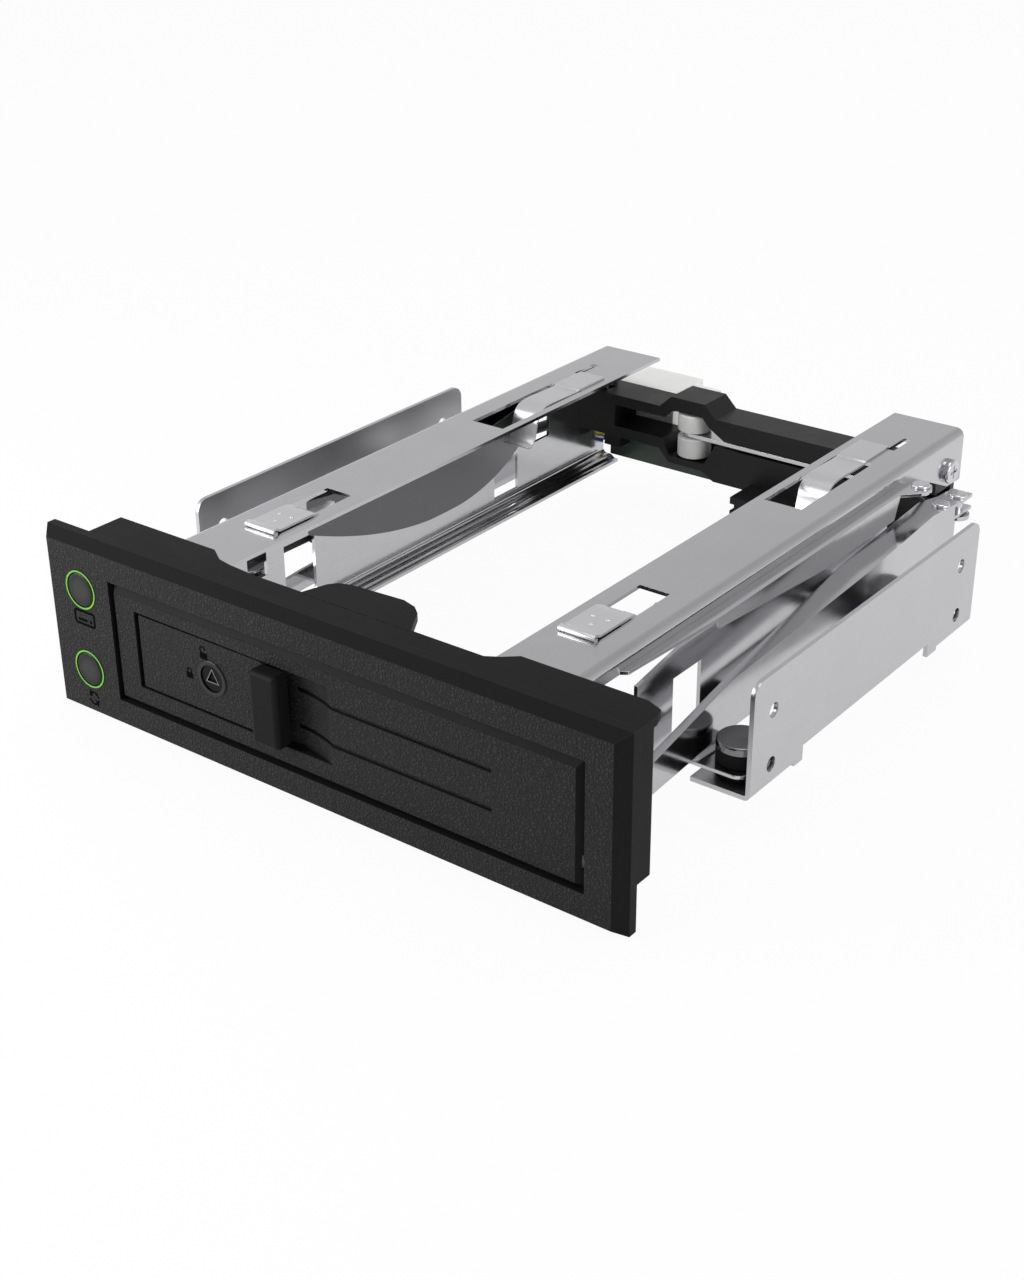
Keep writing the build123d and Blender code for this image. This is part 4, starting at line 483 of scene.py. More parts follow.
def handling():
    """Mask of faint marks from hands and packing: soft patches crossed by finer ones."""
    def build(tree, source):
        point = object_point(tree)
        patches = remap(tree, noise(tree, point, source["Size"], 3.0), 0.42, 0.68)
        small = maths(tree, "MULTIPLY", source["Size"], 0.2)
        finer = remap(tree, noise(tree, point, small, 2.0), 0.35, 0.70)
        return {"Mask": maths(tree, "MULTIPLY", patches, spread(tree, finer, 0.5, 1.0))}
    return effect("handling", {"Size": 0.012}, ["Mask"], build)


def use(tree, group, **inputs):
    """Outputs of a shared effect placed in a material with its own values."""
    node = tree.nodes.new("ShaderNodeGroup")
    node.node_tree = group
    for name, value in inputs.items():
        node.inputs[name].default_value = value
    return node.outputs


def bump(tree, height, depth):
    """Normal of a surface with that height from 0 to 1, and its depth in metres."""
    return put(tree, "Bump", {"Height": height, "Distance": depth, "Strength": 1.0}).outputs[0]


def material(name, constants, build):
    """Material with one Principled shader: constants on its sockets and what build links to it."""
    made = bpy.data.materials.get(name)
    if made:
        return made
    made = bpy.data.materials.new(name)
    made.use_nodes = True
    tree = made.node_tree
    shader = tree.nodes["Principled BSDF"]
    for socket, value in constants.items():
        shader.inputs[socket].default_value = value
    for socket, value in build(tree).items():
        tree.links.new(value, shader.inputs[socket])
    return made


def facing_front(tree):
    """Mask of the grained faces: the normal's Y is near -1, and the place isn't out on the grip ridge."""
    normal = put(tree, "TexCoord").outputs["Normal"]
    along = put(tree, "SeparateXYZ", {0: normal}).outputs[1]
    flat = remap(tree, along, -0.90, -0.99)
    depth = put(tree, "SeparateXYZ", {0: object_point(tree)}).outputs[1]
    behind_ridge = remap(tree, depth, FACE_Y - 0.6 * MM, FACE_Y - 0.4 * MM)
    return maths(tree, "MULTIPLY", flat, behind_ridge)


def textured_black():
    """Black moulding with a grained front and smooth other faces."""
    sizes = bpy.context.scene.cage_sizes
    # Light grey for the edges: wear and painted highlight
    rubbed_and_highlit = linear(greys(84))

    def build(tree):
        front = facing_front(tree)
        grain = use(tree, moulded_grain(), Cell=sizes.grain_cell)
        worn_and_highlit = use(tree, edge_wear(), Radius=sizes.moulding_edge)["Mask"]
        marks = use(tree, handling(), Size=14 * MM)["Mask"]
        # The grain's Shade paints shade in the creases and highlight on the crowns
        face = shaded(tree, paint("moulding"), grain["Shade"])
        colour = mixed(tree, front, paint("polish"), face)
        # Edges lightened as wear and as a painted highlight
        colour = mixed(tree, maths(tree, "MULTIPLY", worn_and_highlit, 0.25), colour, rubbed_and_highlit)
        rough = maths(tree, "ADD", spread(tree, front, 0.45, 0.58), maths(tree, "MULTIPLY", marks, -0.06))
        gloss = spread(tree, front, 0.06, 0.15)
        height = maths(tree, "MULTIPLY", grain["Height"], front)
        return {"Base Color": colour, "Roughness": rough, "Specular IOR Level": gloss,
                "Normal": bump(tree, height, sizes.grain_depth)}
    return material("textured_black", {}, build)


def smooth_black(name="smooth_black", colour="bar", rough=0.36, level=0.25):
    """Plain black moulding with faint marks, and edges lightened as wear and as a painted highlight."""
    sizes = bpy.context.scene.cage_sizes
    rubbed_and_highlit = linear(greys(80))

    def build(tree):
        worn_and_highlit = use(tree, edge_wear(), Radius=sizes.moulding_edge)["Mask"]
        marks = use(tree, handling(), Size=9 * MM)["Mask"]
        fine = noise(tree, object_point(tree), 0.25 * MM)
        body = shaded(tree, paint(colour), spread(tree, fine, 0.9, 1.1))
        # Edges lightened as wear and as a painted highlight
        body = mixed(tree, maths(tree, "MULTIPLY", worn_and_highlit, 0.2), body, rubbed_and_highlit)
        plain = spread(tree, fine, rough, rough + 0.06)
        handled = maths(tree, "SUBTRACT", plain, maths(tree, "MULTIPLY", marks, 0.08))
        return {"Base Color": body, "Roughness": handled, "Normal": bump(tree, fine, 0.004 * MM)}
    return material(name, {"Specular IOR Level": level}, build)


def plated(name, colour, rough, edge=0.5, skin=0.006 * MM):
    """Plated or polished metal: shade, roughness and skin as on rolled sheet, and cut edges lightened as wear
    and as a painted highlight.
    """
    sizes = bpy.context.scene.cage_sizes
    cut_edge_and_highlight = linear((0.95, 0.95, 0.96))

    def build(tree):
        sheet = use(tree, plated_sheet(), Speckle=sizes.speckle)
        worn_and_highlit = use(tree, edge_wear(), Radius=sizes.sheet_edge)["Mask"]
        marks = use(tree, handling(), Size=16 * MM)["Mask"]
        body = shaded(tree, paint(colour), sheet["Shade"])
        # The edge share lightens cut edges: wear and painted highlight
        body = mixed(tree, maths(tree, "MULTIPLY", worn_and_highlit, edge), body, cut_edge_and_highlight)
        clean = maths(tree, "ADD", sheet["Rough"], rough)
        handled = maths(tree, "ADD", clean, maths(tree, "MULTIPLY", marks, 0.06))
        return {"Base Color": body, "Roughness": handled, "Normal": bump(tree, sheet["Height"], skin)}
    return material(name, {"Metallic": 1.0}, build)


def plain_finish(name, colour, level, cell, detail, shade, rough, skin):
    """One-colour finish: a fine noise spreads its shade and roughness, and lifts its skin if it has one."""
    def build(tree):
        fine = noise(tree, object_point(tree), cell, detail)
        values = {"Base Color": shaded(tree, paint(colour), spread(tree, fine, *shade)),
                  "Roughness": spread(tree, fine, *rough)}
        if skin:
            values["Normal"] = bump(tree, fine, skin)
        return values
    return material(name, {"Specular IOR Level": level}, build)


def rubber():
    """Matt black rubber with a fine bloom."""
    return plain_finish("rubber", "rubber", 0.25, 0.8 * MM, 4.0, (0.7, 1.4), (0.6, 0.8), 0.02 * MM)


def printing():
    """Matt black ink, a little uneven."""
    return plain_finish("printing", "print_black", 0.04, 0.3 * MM, 3.0, (0.7, 1.3), (0.7, 0.9), 0.0)


def coloured(name, colour, rough):
    """Soft coloured plastic, as on a wire."""
    return plain_finish(name, colour, 0.35, 1.2 * MM, 3.0, (0.88, 1.1), (rough, rough + 0.12), 0.01 * MM)


def white_moulding():
    """White engineering plastic, slightly uneven in shade and gloss."""
    def build(tree):
        flow = noise(tree, object_point(tree), 5 * MM, 3.0)
        fine = noise(tree, object_point(tree), 0.2 * MM)
        body = shaded(tree, paint("white"), spread(tree, flow, 0.95, 1.03))
        return {"Base Color": body, "Roughness": spread(tree, flow, 0.30, 0.42),
                "Normal": bump(tree, fine, 0.003 * MM)}
    return material("white_moulding", {"Specular IOR Level": 0.4}, build)


def button_radius(tree):
    """Distance from the nearer button's axis, and the rings' outer radius.

    The height is folded about the middle between the two buttons, so one distance serves both.
    """
    lower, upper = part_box("lower_light_ring"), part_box("upper_light_ring")
    x = (lower[0].x + lower[1].x) / 2
    centres = [(low.z + high.z) / 2 for low, high in (lower, upper)]
    parts = put(tree, "SeparateXYZ", {0: object_point(tree)}).outputs
    across = maths(tree, "SUBTRACT", parts[0], x)
    folded = maths(tree, "ABSOLUTE", maths(tree, "SUBTRACT", parts[2], sum(centres) / 2))
    rise = maths(tree, "SUBTRACT", folded, (centres[1] - centres[0]) / 2)
    squares = [maths(tree, "MULTIPLY", part, part) for part in (across, rise)]
    return maths(tree, "SQRT", maths(tree, "ADD", *squares)), (lower[1].x - lower[0].x) / 2


def light_guide():
    """Green light guide with a faint painted glow: bright along the middle of its ring, with painted shade at
    both edges.
    """
    def build(tree):
        radius, outer = button_radius(tree)
        inside = remap(tree, radius, outer - 0.48 * MM, outer - 0.36 * MM)
        outside = remap(tree, radius, outer - 0.04 * MM, outer - 0.16 * MM)
        flow = noise(tree, object_point(tree), 2 * MM, 2.0)
        lit = shaded(tree, paint("guide"), spread(tree, flow, 0.85, 1.15))
        # Dark at the inner and outer edge: painted shade
        body = mixed(tree, maths(tree, "MULTIPLY", inside, outside), paint("guide_edge_shade"), lit)
        # The colour is also given off as a faint painted glow
        return {"Base Color": body, "Emission Color": body, "Roughness": spread(tree, flow, 0.18, 0.3)}
    return material("light_guide", {"Emission Strength": 0.12, "Specular IOR Level": 0.3}, build)


def button_black():
    """Domed button: painted shade at its rim and a painted highlight over the middle, in a soft gloss."""
    def build(tree):
        away, reach = button_radius(tree)
        fine = noise(tree, object_point(tree), 0.4 * MM, 3.0)
        # Painted highlight over the middle of the dome, fading to painted shade at the rim
        dome_highlight = remap(tree, away, reach - 0.5 * MM, reach - 3.2 * MM)
        body = mixed(tree, dome_highlight, paint("button_rim_shade"), paint("button"))
        return {"Base Color": shaded(tree, body, spread(tree, fine, 0.92, 1.08)),
                "Roughness": spread(tree, fine, 0.26, 0.34), "Normal": bump(tree, fine, 0.002 * MM)}
    return material("button_gloss", {"Specular IOR Level": 0.22}, build)


def glossy_black(name, colour, rough, level):
    """Polished black plastic with a faint unevenness in its gloss."""
    def build(tree):
        marks = use(tree, handling(), Size=4 * MM)["Mask"]
        fine = noise(tree, object_point(tree), 0.15 * MM)
        body = shaded(tree, paint(colour), spread(tree, fine, 0.92, 1.08))
        return {"Base Color": body, "Roughness": spread(tree, marks, rough, rough + 0.12),
                "Normal": bump(tree, fine, 0.001 * MM)}
    return material(name, {"Specular IOR Level": level}, build)


def circuit_board():
    """Green solder mask over a woven board: the weave shows as a fine square ripple."""
    def build(tree):
        point = object_point(tree)
        threads = {"Vector": point, "Scale": 1.2 / MM, "Distortion": 0.4}
        upright, level = (put(tree, "TexWave", threads, bands_direction=axis).outputs[1] for axis in "XZ")
        cloth = maths(tree, "MULTIPLY", upright, level)
        patch = noise(tree, point, 7 * MM)
        body = shaded(tree, paint("board"), spread(tree, cloth, 0.85, 1.15))
        body = mixed(tree, remap(tree, patch, 0.45, 0.6, 0.0, 0.35), body, paint("track"))
        return {"Base Color": body, "Roughness": spread(tree, cloth, 0.3, 0.4),
                "Normal": bump(tree, cloth, 0.008 * MM)}
    return material("circuit_board", {"Coat Weight": 0.3, "Coat Roughness": 0.15}, build)


def dress(names, look, width, segments=2, angle=30.0):
    """Give several fixed nodes one material and rounded edges."""
    for name in names:
        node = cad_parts[name]
        node.data.materials.clear()
        node.data.materials.append(look)
        soften(node, width, segments, angle)


def add_piece(name, shape, look, body, replaced=(), bevel=0.0, smooth=False):
    """New piece of the given shape and material, riding on a body."""
    piece = mesh_object(name, *shape)
    piece.data.materials.append(look)
    if bevel:
        soften(piece, bevel)
    if smooth or bevel:
        smooth_faces(piece)
    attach(piece, body)
    if replaced:
        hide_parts(*replaced)
    return piece


# Operators

class CAGE_OT_mouldings(Operator):
    """Finish the bezel, the door and the latch: grained fronts and smooth sides"""
    bl_idname = "cage.mouldings"
    bl_label = "Mouldings"

    def execute(self, context):
        sizes = context.scene.cage_sizes
        fronts = ["bezel_frame", "door_panel", "latch_panel"]
        dress(fronts, textured_black(), sizes.moulding_edge, segments=3, angle=24.0)
        dress(["door_back"], smooth_black(), sizes.moulding_edge)
        return {"FINISHED"}


class CAGE_OT_sheet_metal(Operator):
    """Finish the rails, brackets, carriers, guard, link and arm in plated sheet"""
    bl_idname = "cage.sheet_metal"
    bl_label = "Sheet Metal"

    def execute(self, context):
        edge = context.scene.cage_sizes.sheet_edge
        names = ["left_rail", "right_rail", "left_carrier", "right_carrier", "link_guard", "push_link",
                 "ejector_arm"]
        dress(names, plated("zinc_sheet", "zinc", 0.13), edge)
        dress(["left_bay_bracket", "right_bay_bracket"], plated("satin_zinc", "zinc", 0.3), edge)
        return {"FINISHED"}


# The clips' lines in depth behind the bezel's face and height, their reach across, and the dimples' places
# across and in depth, all in millimetres
PLATE_LINE = [
    (32.6, 38.0), (31.9, 38.0), (31.5, 38.2), (31.5, 38.6), (32.1, 38.85), (32.7, 38.75), (33.2, 38.4),
    (34.0, 38.3), (40.0, 38.3), (42.6, 38.28), (44.2, 38.12), (45.4, 37.6),
]
LEAF_LINE = [
    (40.8, 38.15), (43.4, 38.15), (45.0, 38.05), (46.0, 37.3), (46.5, 36.1), (47.4, 35.0), (49.6, 34.7),
    (54.2, 34.7), (56.4, 35.4),
]
TAB_LINE = [
    (151.0, 38.1), (146.0, 38.1), (141.2, 38.1), (140.2, 38.05), (139.8, 37.65), (139.0, 37.6),
    (133.0, 37.75), (129.0, 37.9), (126.4, 37.8), (124.2, 37.1), (122.9, 35.4), (122.4, 33.0),
    (121.6, 30.6), (120.6, 29.2), (119.6, 29.0), (118.8, 29.6),
]
FRONT_CLIP = (36.7, 45.0)
FRONT_LEAF = (42.3, 44.7)
REAR_TAB = (36.1, 43.4)
DIMPLES = ((40.85, 36.4), (39.15, 39.6), (42.55, 39.6))
DIMPLE_FOOT = 38.45
DIMPLE_RADIUS = 0.55 * MM
DIMPLE_HEIGHT = 0.3 * MM


def sprung(line, across, thick):
    """Sheet bent along a smooth line of Y and Z: each skin lies half the thickness off along the normal."""
    route = np.array([(0.0, y, z) for y, z in line]) * MM + (0, FACE_Y, 0)
    middle = smooth_line(route)[:, 1:]
    along = np.gradient(middle, axis=0)
    along /= np.linalg.norm(along, axis=1)[:, None]
    normal = np.column_stack([-along[:, 1], along[:, 0]]) * thick / 2
    skin = np.vstack([middle + normal, (middle - normal)[::-1]])
    ends = [np.column_stack([np.full(len(skin), x * MM), skin]) for x in across]
    return grid(np.stack(ends), caps=True)


def dimple(x, y, around):
    """Drop that stands up from a clip's plate: a dome whose Y and Z are exchanged."""
    points, faces = dome(x * MM, y * MM + FACE_Y, DIMPLE_FOOT * MM, DIMPLE_RADIUS, DIMPLE_HEIGHT, around)
    return points[:, [0, 2, 1]], faces


class CAGE_OT_springs(Operator):
    """Bend the four clips from smooth sheet and finish them and the bowed spring"""
    bl_idname = "cage.springs"
    bl_label = "Springs"

    def execute(self, context):
        sizes = context.scene.cage_sizes
        thick = sizes.clip_sheet
        look = plated("spring_sheet", "spring", 0.36, 0.0, 0.001 * MM)
        # The bowed spring is darkened to stand for a dark reflection: a painted reflection
        dress(["side_spring"], plated("bow_sheet", "bow", 0.2, 0.6), sizes.fine_edge)
        front = [sprung(PLATE_LINE, FRONT_CLIP, thick), sprung(LEAF_LINE, FRONT_LEAF, thick)]
        front += [dimple(x, y, sizes.around) for x, y in DIMPLES]
        rear = [sprung(TAB_LINE, REAR_TAB, thick)]
        for name, shapes in (("front_clip", front), ("rear_clip", rear)):
            points, faces = joined(shapes)
            for side, sign in (("right", 1), ("left", -1)):
                shape = (points * (sign, 1, 1), faces)
                add_piece(f"{side}_{name}_sheet", shape, look, "cage", [f"{side}_{name}"],
                          bevel=sizes.fine_edge)
        return {"FINISHED"}


class CAGE_OT_fasteners(Operator):
    """Finish the screws, rivets and pins"""
    bl_idname = "cage.fasteners"
    bl_label = "Fasteners"

    def execute(self, context):
        names = ["board_screws", "bar_screws", "bezel_screws", "power_pins", "guard_rivet", "hinge_pin",
                 "ejector_pivot", "link_rivets", "roller_axle", "latch_bolt", "lock_cam"]
        dress(names, plated("bright_steel", "bright", 0.14), context.scene.cage_sizes.fine_edge)
        return {"FINISHED"}


class CAGE_OT_dampers(Operator):
    """Finish the rubber dampers, their caps and the door pads"""
    bl_idname = "cage.dampers"
    bl_label = "Dampers"

    def execute(self, context):
        sizes = context.scene.cage_sizes
        dress(["damper_rubbers", "door_pads"], rubber(), sizes.moulding_edge)
        dress(["damper_caps"], plated("cap_steel", "cap", 0.12), sizes.moulding_edge)
        return {"FINISHED"}


class CAGE_OT_connectors(Operator):
    """Finish the rear bar, the sockets, the contacts, the cam and the rollers"""
    bl_idname = "cage.connectors"
    bl_label = "Bar and Connectors"

    def execute(self, context):
        sizes = context.scene.cage_sizes
        dress(["rear_bar"], smooth_black(), sizes.moulding_edge, segments=3)
        dress(["drive_connector", "data_socket", "lead_clips"], smooth_black(), sizes.fine_edge)
        dress(["power_socket", "lead_plugs", "door_cam"], white_moulding(), sizes.fine_edge)
        dress(["upper_roller", "lower_roller"], white_moulding(), sizes.moulding_edge, segments=3)
        dress(["drive_contacts", "data_contacts"], plated("gold_contacts", "gold", 0.2), sizes.fine_edge)
        return {"FINISHED"}


class CAGE_OT_buttons(Operator):
    """Finish the button caps, their light rings and the switches behind them"""
    bl_idname = "cage.buttons"
    bl_label = "Buttons"

    def execute(self, context):
        sizes = context.scene.cage_sizes
        dress(["upper_button_cap", "lower_button_cap"], button_black(), sizes.moulding_edge, segments=3)
        dress(["upper_light_ring", "lower_light_ring"], light_guide(), sizes.fine_edge)
        dress(["front_switches"], smooth_black(), sizes.fine_edge)
        return {"FINISHED"}


POINTER_RADIUS = 1.95 * MM
POINTER_LINE = 0.16 * MM


class CAGE_OT_lock(Operator):
    """Finish the lock's ring and barrel and draw the light edge of its pointer"""
    bl_idname = "cage.lock"
    bl_label = "Lock"

    def execute(self, context):
        sizes = context.scene.cage_sizes
        # Glossy black stands for the dark reflection in a steel ring: a painted reflection
        ring = glossy_black("lock_black", "lock", 0.1, 0.4)
        dress(["lock_ring"], ring, sizes.moulding_edge, segments=3)
        dress(["lock_barrel"], glossy_black("barrel_black", "barrel", 0.3, 0.1), sizes.fine_edge)
        low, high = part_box("lock_barrel")
        x, z = (low.x + high.x) / 2, (low.z + high.z) / 2
        corners = arc(x, z, POINTER_RADIUS, 90, 330, 3)
        shape = band(corners, POINTER_LINE, low.y - sizes.lift / 2, low.y + sizes.root, closed=True)
        look = coloured("pointer_edge", "pointer", 0.4)
        add_piece("lock_pointer_edge", shape, look, "lock")
        return {"FINISHED"}


def padlock(x, z, scale, open_by):
    """Plans of a padlock: its body's outline, and its bow, a half circle on two legs turned by an angle."""
    body = round_box(x, z - 0.35 * scale, 1.7 * scale, 1.25 * scale, 0.2 * scale)
    reach = 0.52 * scale
    foot = z + 0.25 * scale
    legs = foot + 0.35 * scale
    bow = np.vstack([[(x + reach, foot)], arc(x, legs, reach, 0, 180, 13), [(x - reach, foot)]])
    if open_by:
        turn = math.radians(open_by)
        hinge = np.array([x - reach, foot])
        rotate = np.array([[math.cos(turn), -math.sin(turn)], [math.sin(turn), math.cos(turn)]])
        bow = (bow - hinge) @ rotate.T + hinge
    return body, bow


# The bezel's symbols: how far each stands below its button, the drive's case, dash and dot, and the turning
# arrows' shaft, barbs and tip. The latch's: the panel's depth, and each padlock's place, scale and opening
DRIVE_DROP = 2.05 * MM
DRIVE_CASE = (5.8 * MM, 3.0 * MM, 0.6 * MM)
DRIVE_DASH = (-2.0 * MM, 0.7 * MM)
DRIVE_DOT = 1.75 * MM
DRIVE_DOT_RADIUS = 0.38 * MM
DRIVE_LINE_DROP = 0.5 * MM
TURN_DROP = 2.5 * MM
TURN_RADIUS = 1.4 * MM
TURN_BARBS = (0.6 * MM, 2.2 * MM)
TURN_TIP = 1.5 * MM
TURN_STARTS = (15, 195)
PANEL_DEPTH = 0.7 * MM
PADLOCKS = (("open_padlock", -27.7, 25.7, 1.2, 28), ("closed_padlock", -32.2, 20.0, 1.1, 0))


class CAGE_OT_symbols(Operator):
    """Draw the generic symbols: a drive and two turning arrows on the bezel, two padlocks on the latch"""
    bl_idname = "cage.symbols"
    bl_label = "Symbols"

    def execute(self, context):
        sizes = context.scene.cage_sizes
        low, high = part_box("lower_button_cap")
        middle = (low.x + high.x) / 2
        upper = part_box("upper_button_cap")[0].z
        front, rear = FACE_Y - sizes.lift, FACE_Y + sizes.root
        black = printing()
        z = upper - DRIVE_DROP
        line = z - DRIVE_LINE_DROP
        case = round_box(middle, z, *DRIVE_CASE)
        dash = np.array([(middle + end, line) for end in DRIVE_DASH])
        dot = arc(middle + DRIVE_DOT, line, DRIVE_DOT_RADIUS, 0, 345, 24)
        drive = [band(case, sizes.stroke, front, rear, closed=True), band(dash, sizes.stroke, front, rear),
                 plate(dot, front, rear)]
        add_piece("drive_symbol", joined(drive), black, "cage")
        z = low.z - TURN_DROP
        turn = []
        for start in TURN_STARTS:
            shaft = arc(middle, z, TURN_RADIUS, start, start + 108, 19)
            barbs = [arc(middle, z, radius, start + 105, start + 105, 1) for radius in TURN_BARBS]
            tip = arc(middle, z, TURN_TIP, start + 158, start + 158, 1)
            turn.append(band(shaft, sizes.stroke * 0.8, front, rear))
            turn.append(plate(np.vstack([*barbs, tip]), front, rear))
        add_piece("turn_symbol", joined(turn), black, "cage")
        panel = FACE_Y + PANEL_DEPTH
        front, rear = panel - sizes.lift / 2, panel + sizes.root
        for name, x, z, scale, open_by in PADLOCKS:
            body, bow = padlock(x * MM, z * MM, scale * MM, open_by)
            shape = joined([plate(body, front, rear), band(bow, sizes.fine_stroke, front, rear)])
            add_piece(name, shape, black, "latch")
        return {"FINISHED"}


def chip(x, z, y, width, height, legs):
    """Flat chip on a face at y that looks to +Y: its case, and legs of three bricks each above and below.

    A leg runs straight out of the case, down, and out again on the board.
    """
    left, right = x - width / 2, x + width / 2
    bricks = [brick(left, right, y + 0.1 * MM, y + 1.1 * MM, z - height / 2, z + height / 2)]
    pitch = width / legs
    half = pitch * 0.2
    for index in range(legs):
        leg = left + pitch * (index + 0.5)
        for side in (-1, 1):
            inner = z + side * height / 2
            outer = z + side * (height / 2 + 0.9 * MM)
            step = z + side * (height / 2 + 0.35 * MM)
            wall = step - side * 0.12 * MM
            parts = ((0.45, 0.6, (inner, step)), (0, 0.15, (step, outer)), (0, 0.6, (step, wall)))
            for y0, y1, ends in parts:
                bricks.append(brick(leg - half, leg + half, y + y0 * MM, y + y1 * MM, min(ends), max(ends)))
    return bricks


# Chips of the rear board: place across, height over the board's bottom edge, width and height in millimetres,
# and legs on a side. Then its small parts: place across, height over the edge and width
CHIPS = ((-15, 7.2, 6.4, 3.9, 8), (27, 7.6, 4.2, 3.2, 4))
SMALL_PARTS = (
    (-6.5, 8.6, 2.0), (-6.5, 6.6, 2.0), (-21, 9.6, 1.6), (-21, 7.6, 1.6), (21.8, 8.8, 2.0),
    (32.5, 9.4, 1.6), (40, 8.0, 2.0), (40, 5.6, 2.0), (-2.5, 10.4, 1.6), (1.5, 10.4, 1.6),
)


class CAGE_OT_boards(Operator):
    """Finish both boards and set their tracks, chips, small parts and solder on them"""
    bl_idname = "cage.boards"
    bl_label = "Boards"

    def execute(self, context):
        sizes = context.scene.cage_sizes
        dress(["rear_board", "front_board"], circuit_board(), sizes.fine_edge)
        low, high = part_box("rear_board")
        y = high.y
        around = sizes.around // 2
        bottom = low.z
        foot, crown = y - sizes.root, y + sizes.lift
        tracks = []
        for index in range(5):
            z = bottom + (1.2 + 0.7 * index) * MM
            start = (-26 - 1.4 * index) * MM
            end = (3 - 0.5 * index) * MM
            bend = 1.6 * MM
            path = np.array([(start, bottom + 8.6 * MM), (start, z + bend), (start + bend, z), (end, z)])
            tracks.append(band(path, sizes.track_width, foot, crown))
        for index in range(4):
            z = bottom + (2.0 + 0.8 * index) * MM
            path = np.array([(21 * MM, z), ((33 + index) * MM, z), ((35 + index) * MM, z + 2 * MM),
                             ((35 + index) * MM, bottom + (9.6 - index * 0.4) * MM)])
            tracks.append(band(path, sizes.track_width, foot, crown))
        green = coloured("track_green", "track", 0.3)
        add_piece("board_tracks", joined(tracks), green, "cage")
        chips = []
        for x, z, width, height, legs in CHIPS:
            chips += chip(x * MM, bottom + z * MM, y, width * MM, height * MM, legs)
        black = smooth_black()
        add_piece("board_chips", joined(chips), black, "cage", bevel=sizes.fine_edge)
        small = []
        ends = []
        cap = 0.35 * MM
        for x, z, wide in SMALL_PARTS:
            left, right = (x - wide / 2) * MM, (x + wide / 2) * MM
            z0, z1 = bottom + (z - 0.55) * MM, bottom + (z + 0.55) * MM
            small.append(brick(left + cap, right - cap, y, y + 0.62 * MM, z0, z1))
            ends.append(brick(left, left + cap, y, y + 0.66 * MM, z0, z1))
            ends.append(brick(right - cap, right, y, y + 0.66 * MM, z0, z1))
        for row in range(2):
            for index in range(7):
                ends.append(dome((6.6 + 1.8 * index) * MM, bottom + (9.4 + 1.3 * row) * MM, y,
                                 0.42 * MM, 0.35 * MM, around))
        brown = coloured("part_brown", "gold", 0.4)
        add_piece("board_parts", joined(small), brown, "cage", bevel=sizes.fine_edge)
        solder = plated("solder", "bright", 0.3)
        add_piece("board_solder", joined(ends), solder, "cage", bevel=sizes.fine_edge)
        low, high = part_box("front_board")
        x = (low.x + high.x) / 2
        joints = [dome(x + dx * MM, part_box(name)[0].z + dz * MM, high.y, 0.5 * MM, 0.4 * MM, around)
                  for name in ("upper_button_cap", "lower_button_cap")
                  for dx in (-3.2, 3.2) for dz in (2.6, 7.2)]
        add_piece("front_board_solder", joined(joints), solder, "cage", bevel=sizes.fine_edge)
        return {"FINISHED"}


# Routes of the lead: place across, depth behind the bezel's face and height, in millimetres
SLEEVE_ROUTE = [
    (-54.1, 38.0, 23.5), (-54.5, 66.0, 22.6), (-54.1, 96.0, 23.7), (-54.6, 124.0, 22.7),
    (-54.1, 146.0, 22.3), (-54.7, 160.0, 19.9),
]
FRONT_WIRE_ROUTE = [(-57.5, 15.6, 21.0), (-57.5, 20.2, 21.0), (-55.1, 28.0, 22.9), (-54.1, 37.6, 23.5)]
REAR_WIRE_ROUTE = [
    (-54.7, 160.4, 19.9), (-55.3, 168.0, 15.6), (-53.6, 174.6, 12.2), (-50.0, 175.5, 10.3),
    (-46.0, 175.5, 10.3),
]
SLEEVE_RADIUS = 1.4 * MM
WIRE_RADIUS = 0.6 * MM
WIRE_RISE = 0.75


def routed(route, rise=0.0):
    """Smooth line of a route given in millimetres behind the bezel's face, raised by rise."""
    points = np.array(route) * MM + (0, FACE_Y, rise)
    return smooth_line(points)


class CAGE_OT_lead(Operator):
    """Make the sleeve and its two wires as smooth tubes on their routes"""
    bl_idname = "cage.lead"
    bl_label = "Lead"

    def execute(self, context):
        around = context.scene.cage_sizes.around
        sleeve = tube(routed(SLEEVE_ROUTE), SLEEVE_RADIUS, around, ripple=0.008)
        black = smooth_black("sleeve_black", "rubber", 0.42, 0.3)
        add_piece("sleeve", sleeve, black, "cage", ["lead_sleeve"], smooth=True)
        for colour, rise in (("yellow", WIRE_RISE), ("blue", -WIRE_RISE)):
            sheath = f"{colour}_sheath"
            stretches = [tube(routed(route, rise * MM), WIRE_RADIUS, around)
                         for route in (FRONT_WIRE_ROUTE, REAR_WIRE_ROUTE)]
            add_piece(f"{colour}_lead", joined(stretches), coloured(sheath, colour, 0.34), "cage",
                      [f"{colour}_wire"], smooth=True)
        return {"FINISHED"}


def lamp(name, place, target, size, power):
    """Soft lamp of a width and a height at a place, turned to its target."""
    light = bpy.data.lights.new(name, "AREA")
    light.shape = "RECTANGLE"
    light.size, light.size_y = size
    light.energy = power
    holder = bpy.data.objects.new(name, light)
    bpy.context.scene.collection.objects.link(holder)
    away = Vector(place) - Vector(target)
    holder.matrix_world = Matrix.Translation(place) @ away.to_track_quat("Z", "Y").to_matrix().to_4x4()


# The world's brightness where it is mirrored, from low to high and left to right, and at the front and the
# back; the share of its even light that comes from the front; the floor's glow to the camera and to mirrors
HEIGHT_GRADE = (0.92, 0.55)
SIDE_GRADE = (1.06, 0.90)
FRONT_GRADE = 0.6
BACK_GRADE = 0.78
FRONT_SHARE = 0.12
FLOOR_SEEN = 0.95
FLOOR_MIRRORED = 0.52


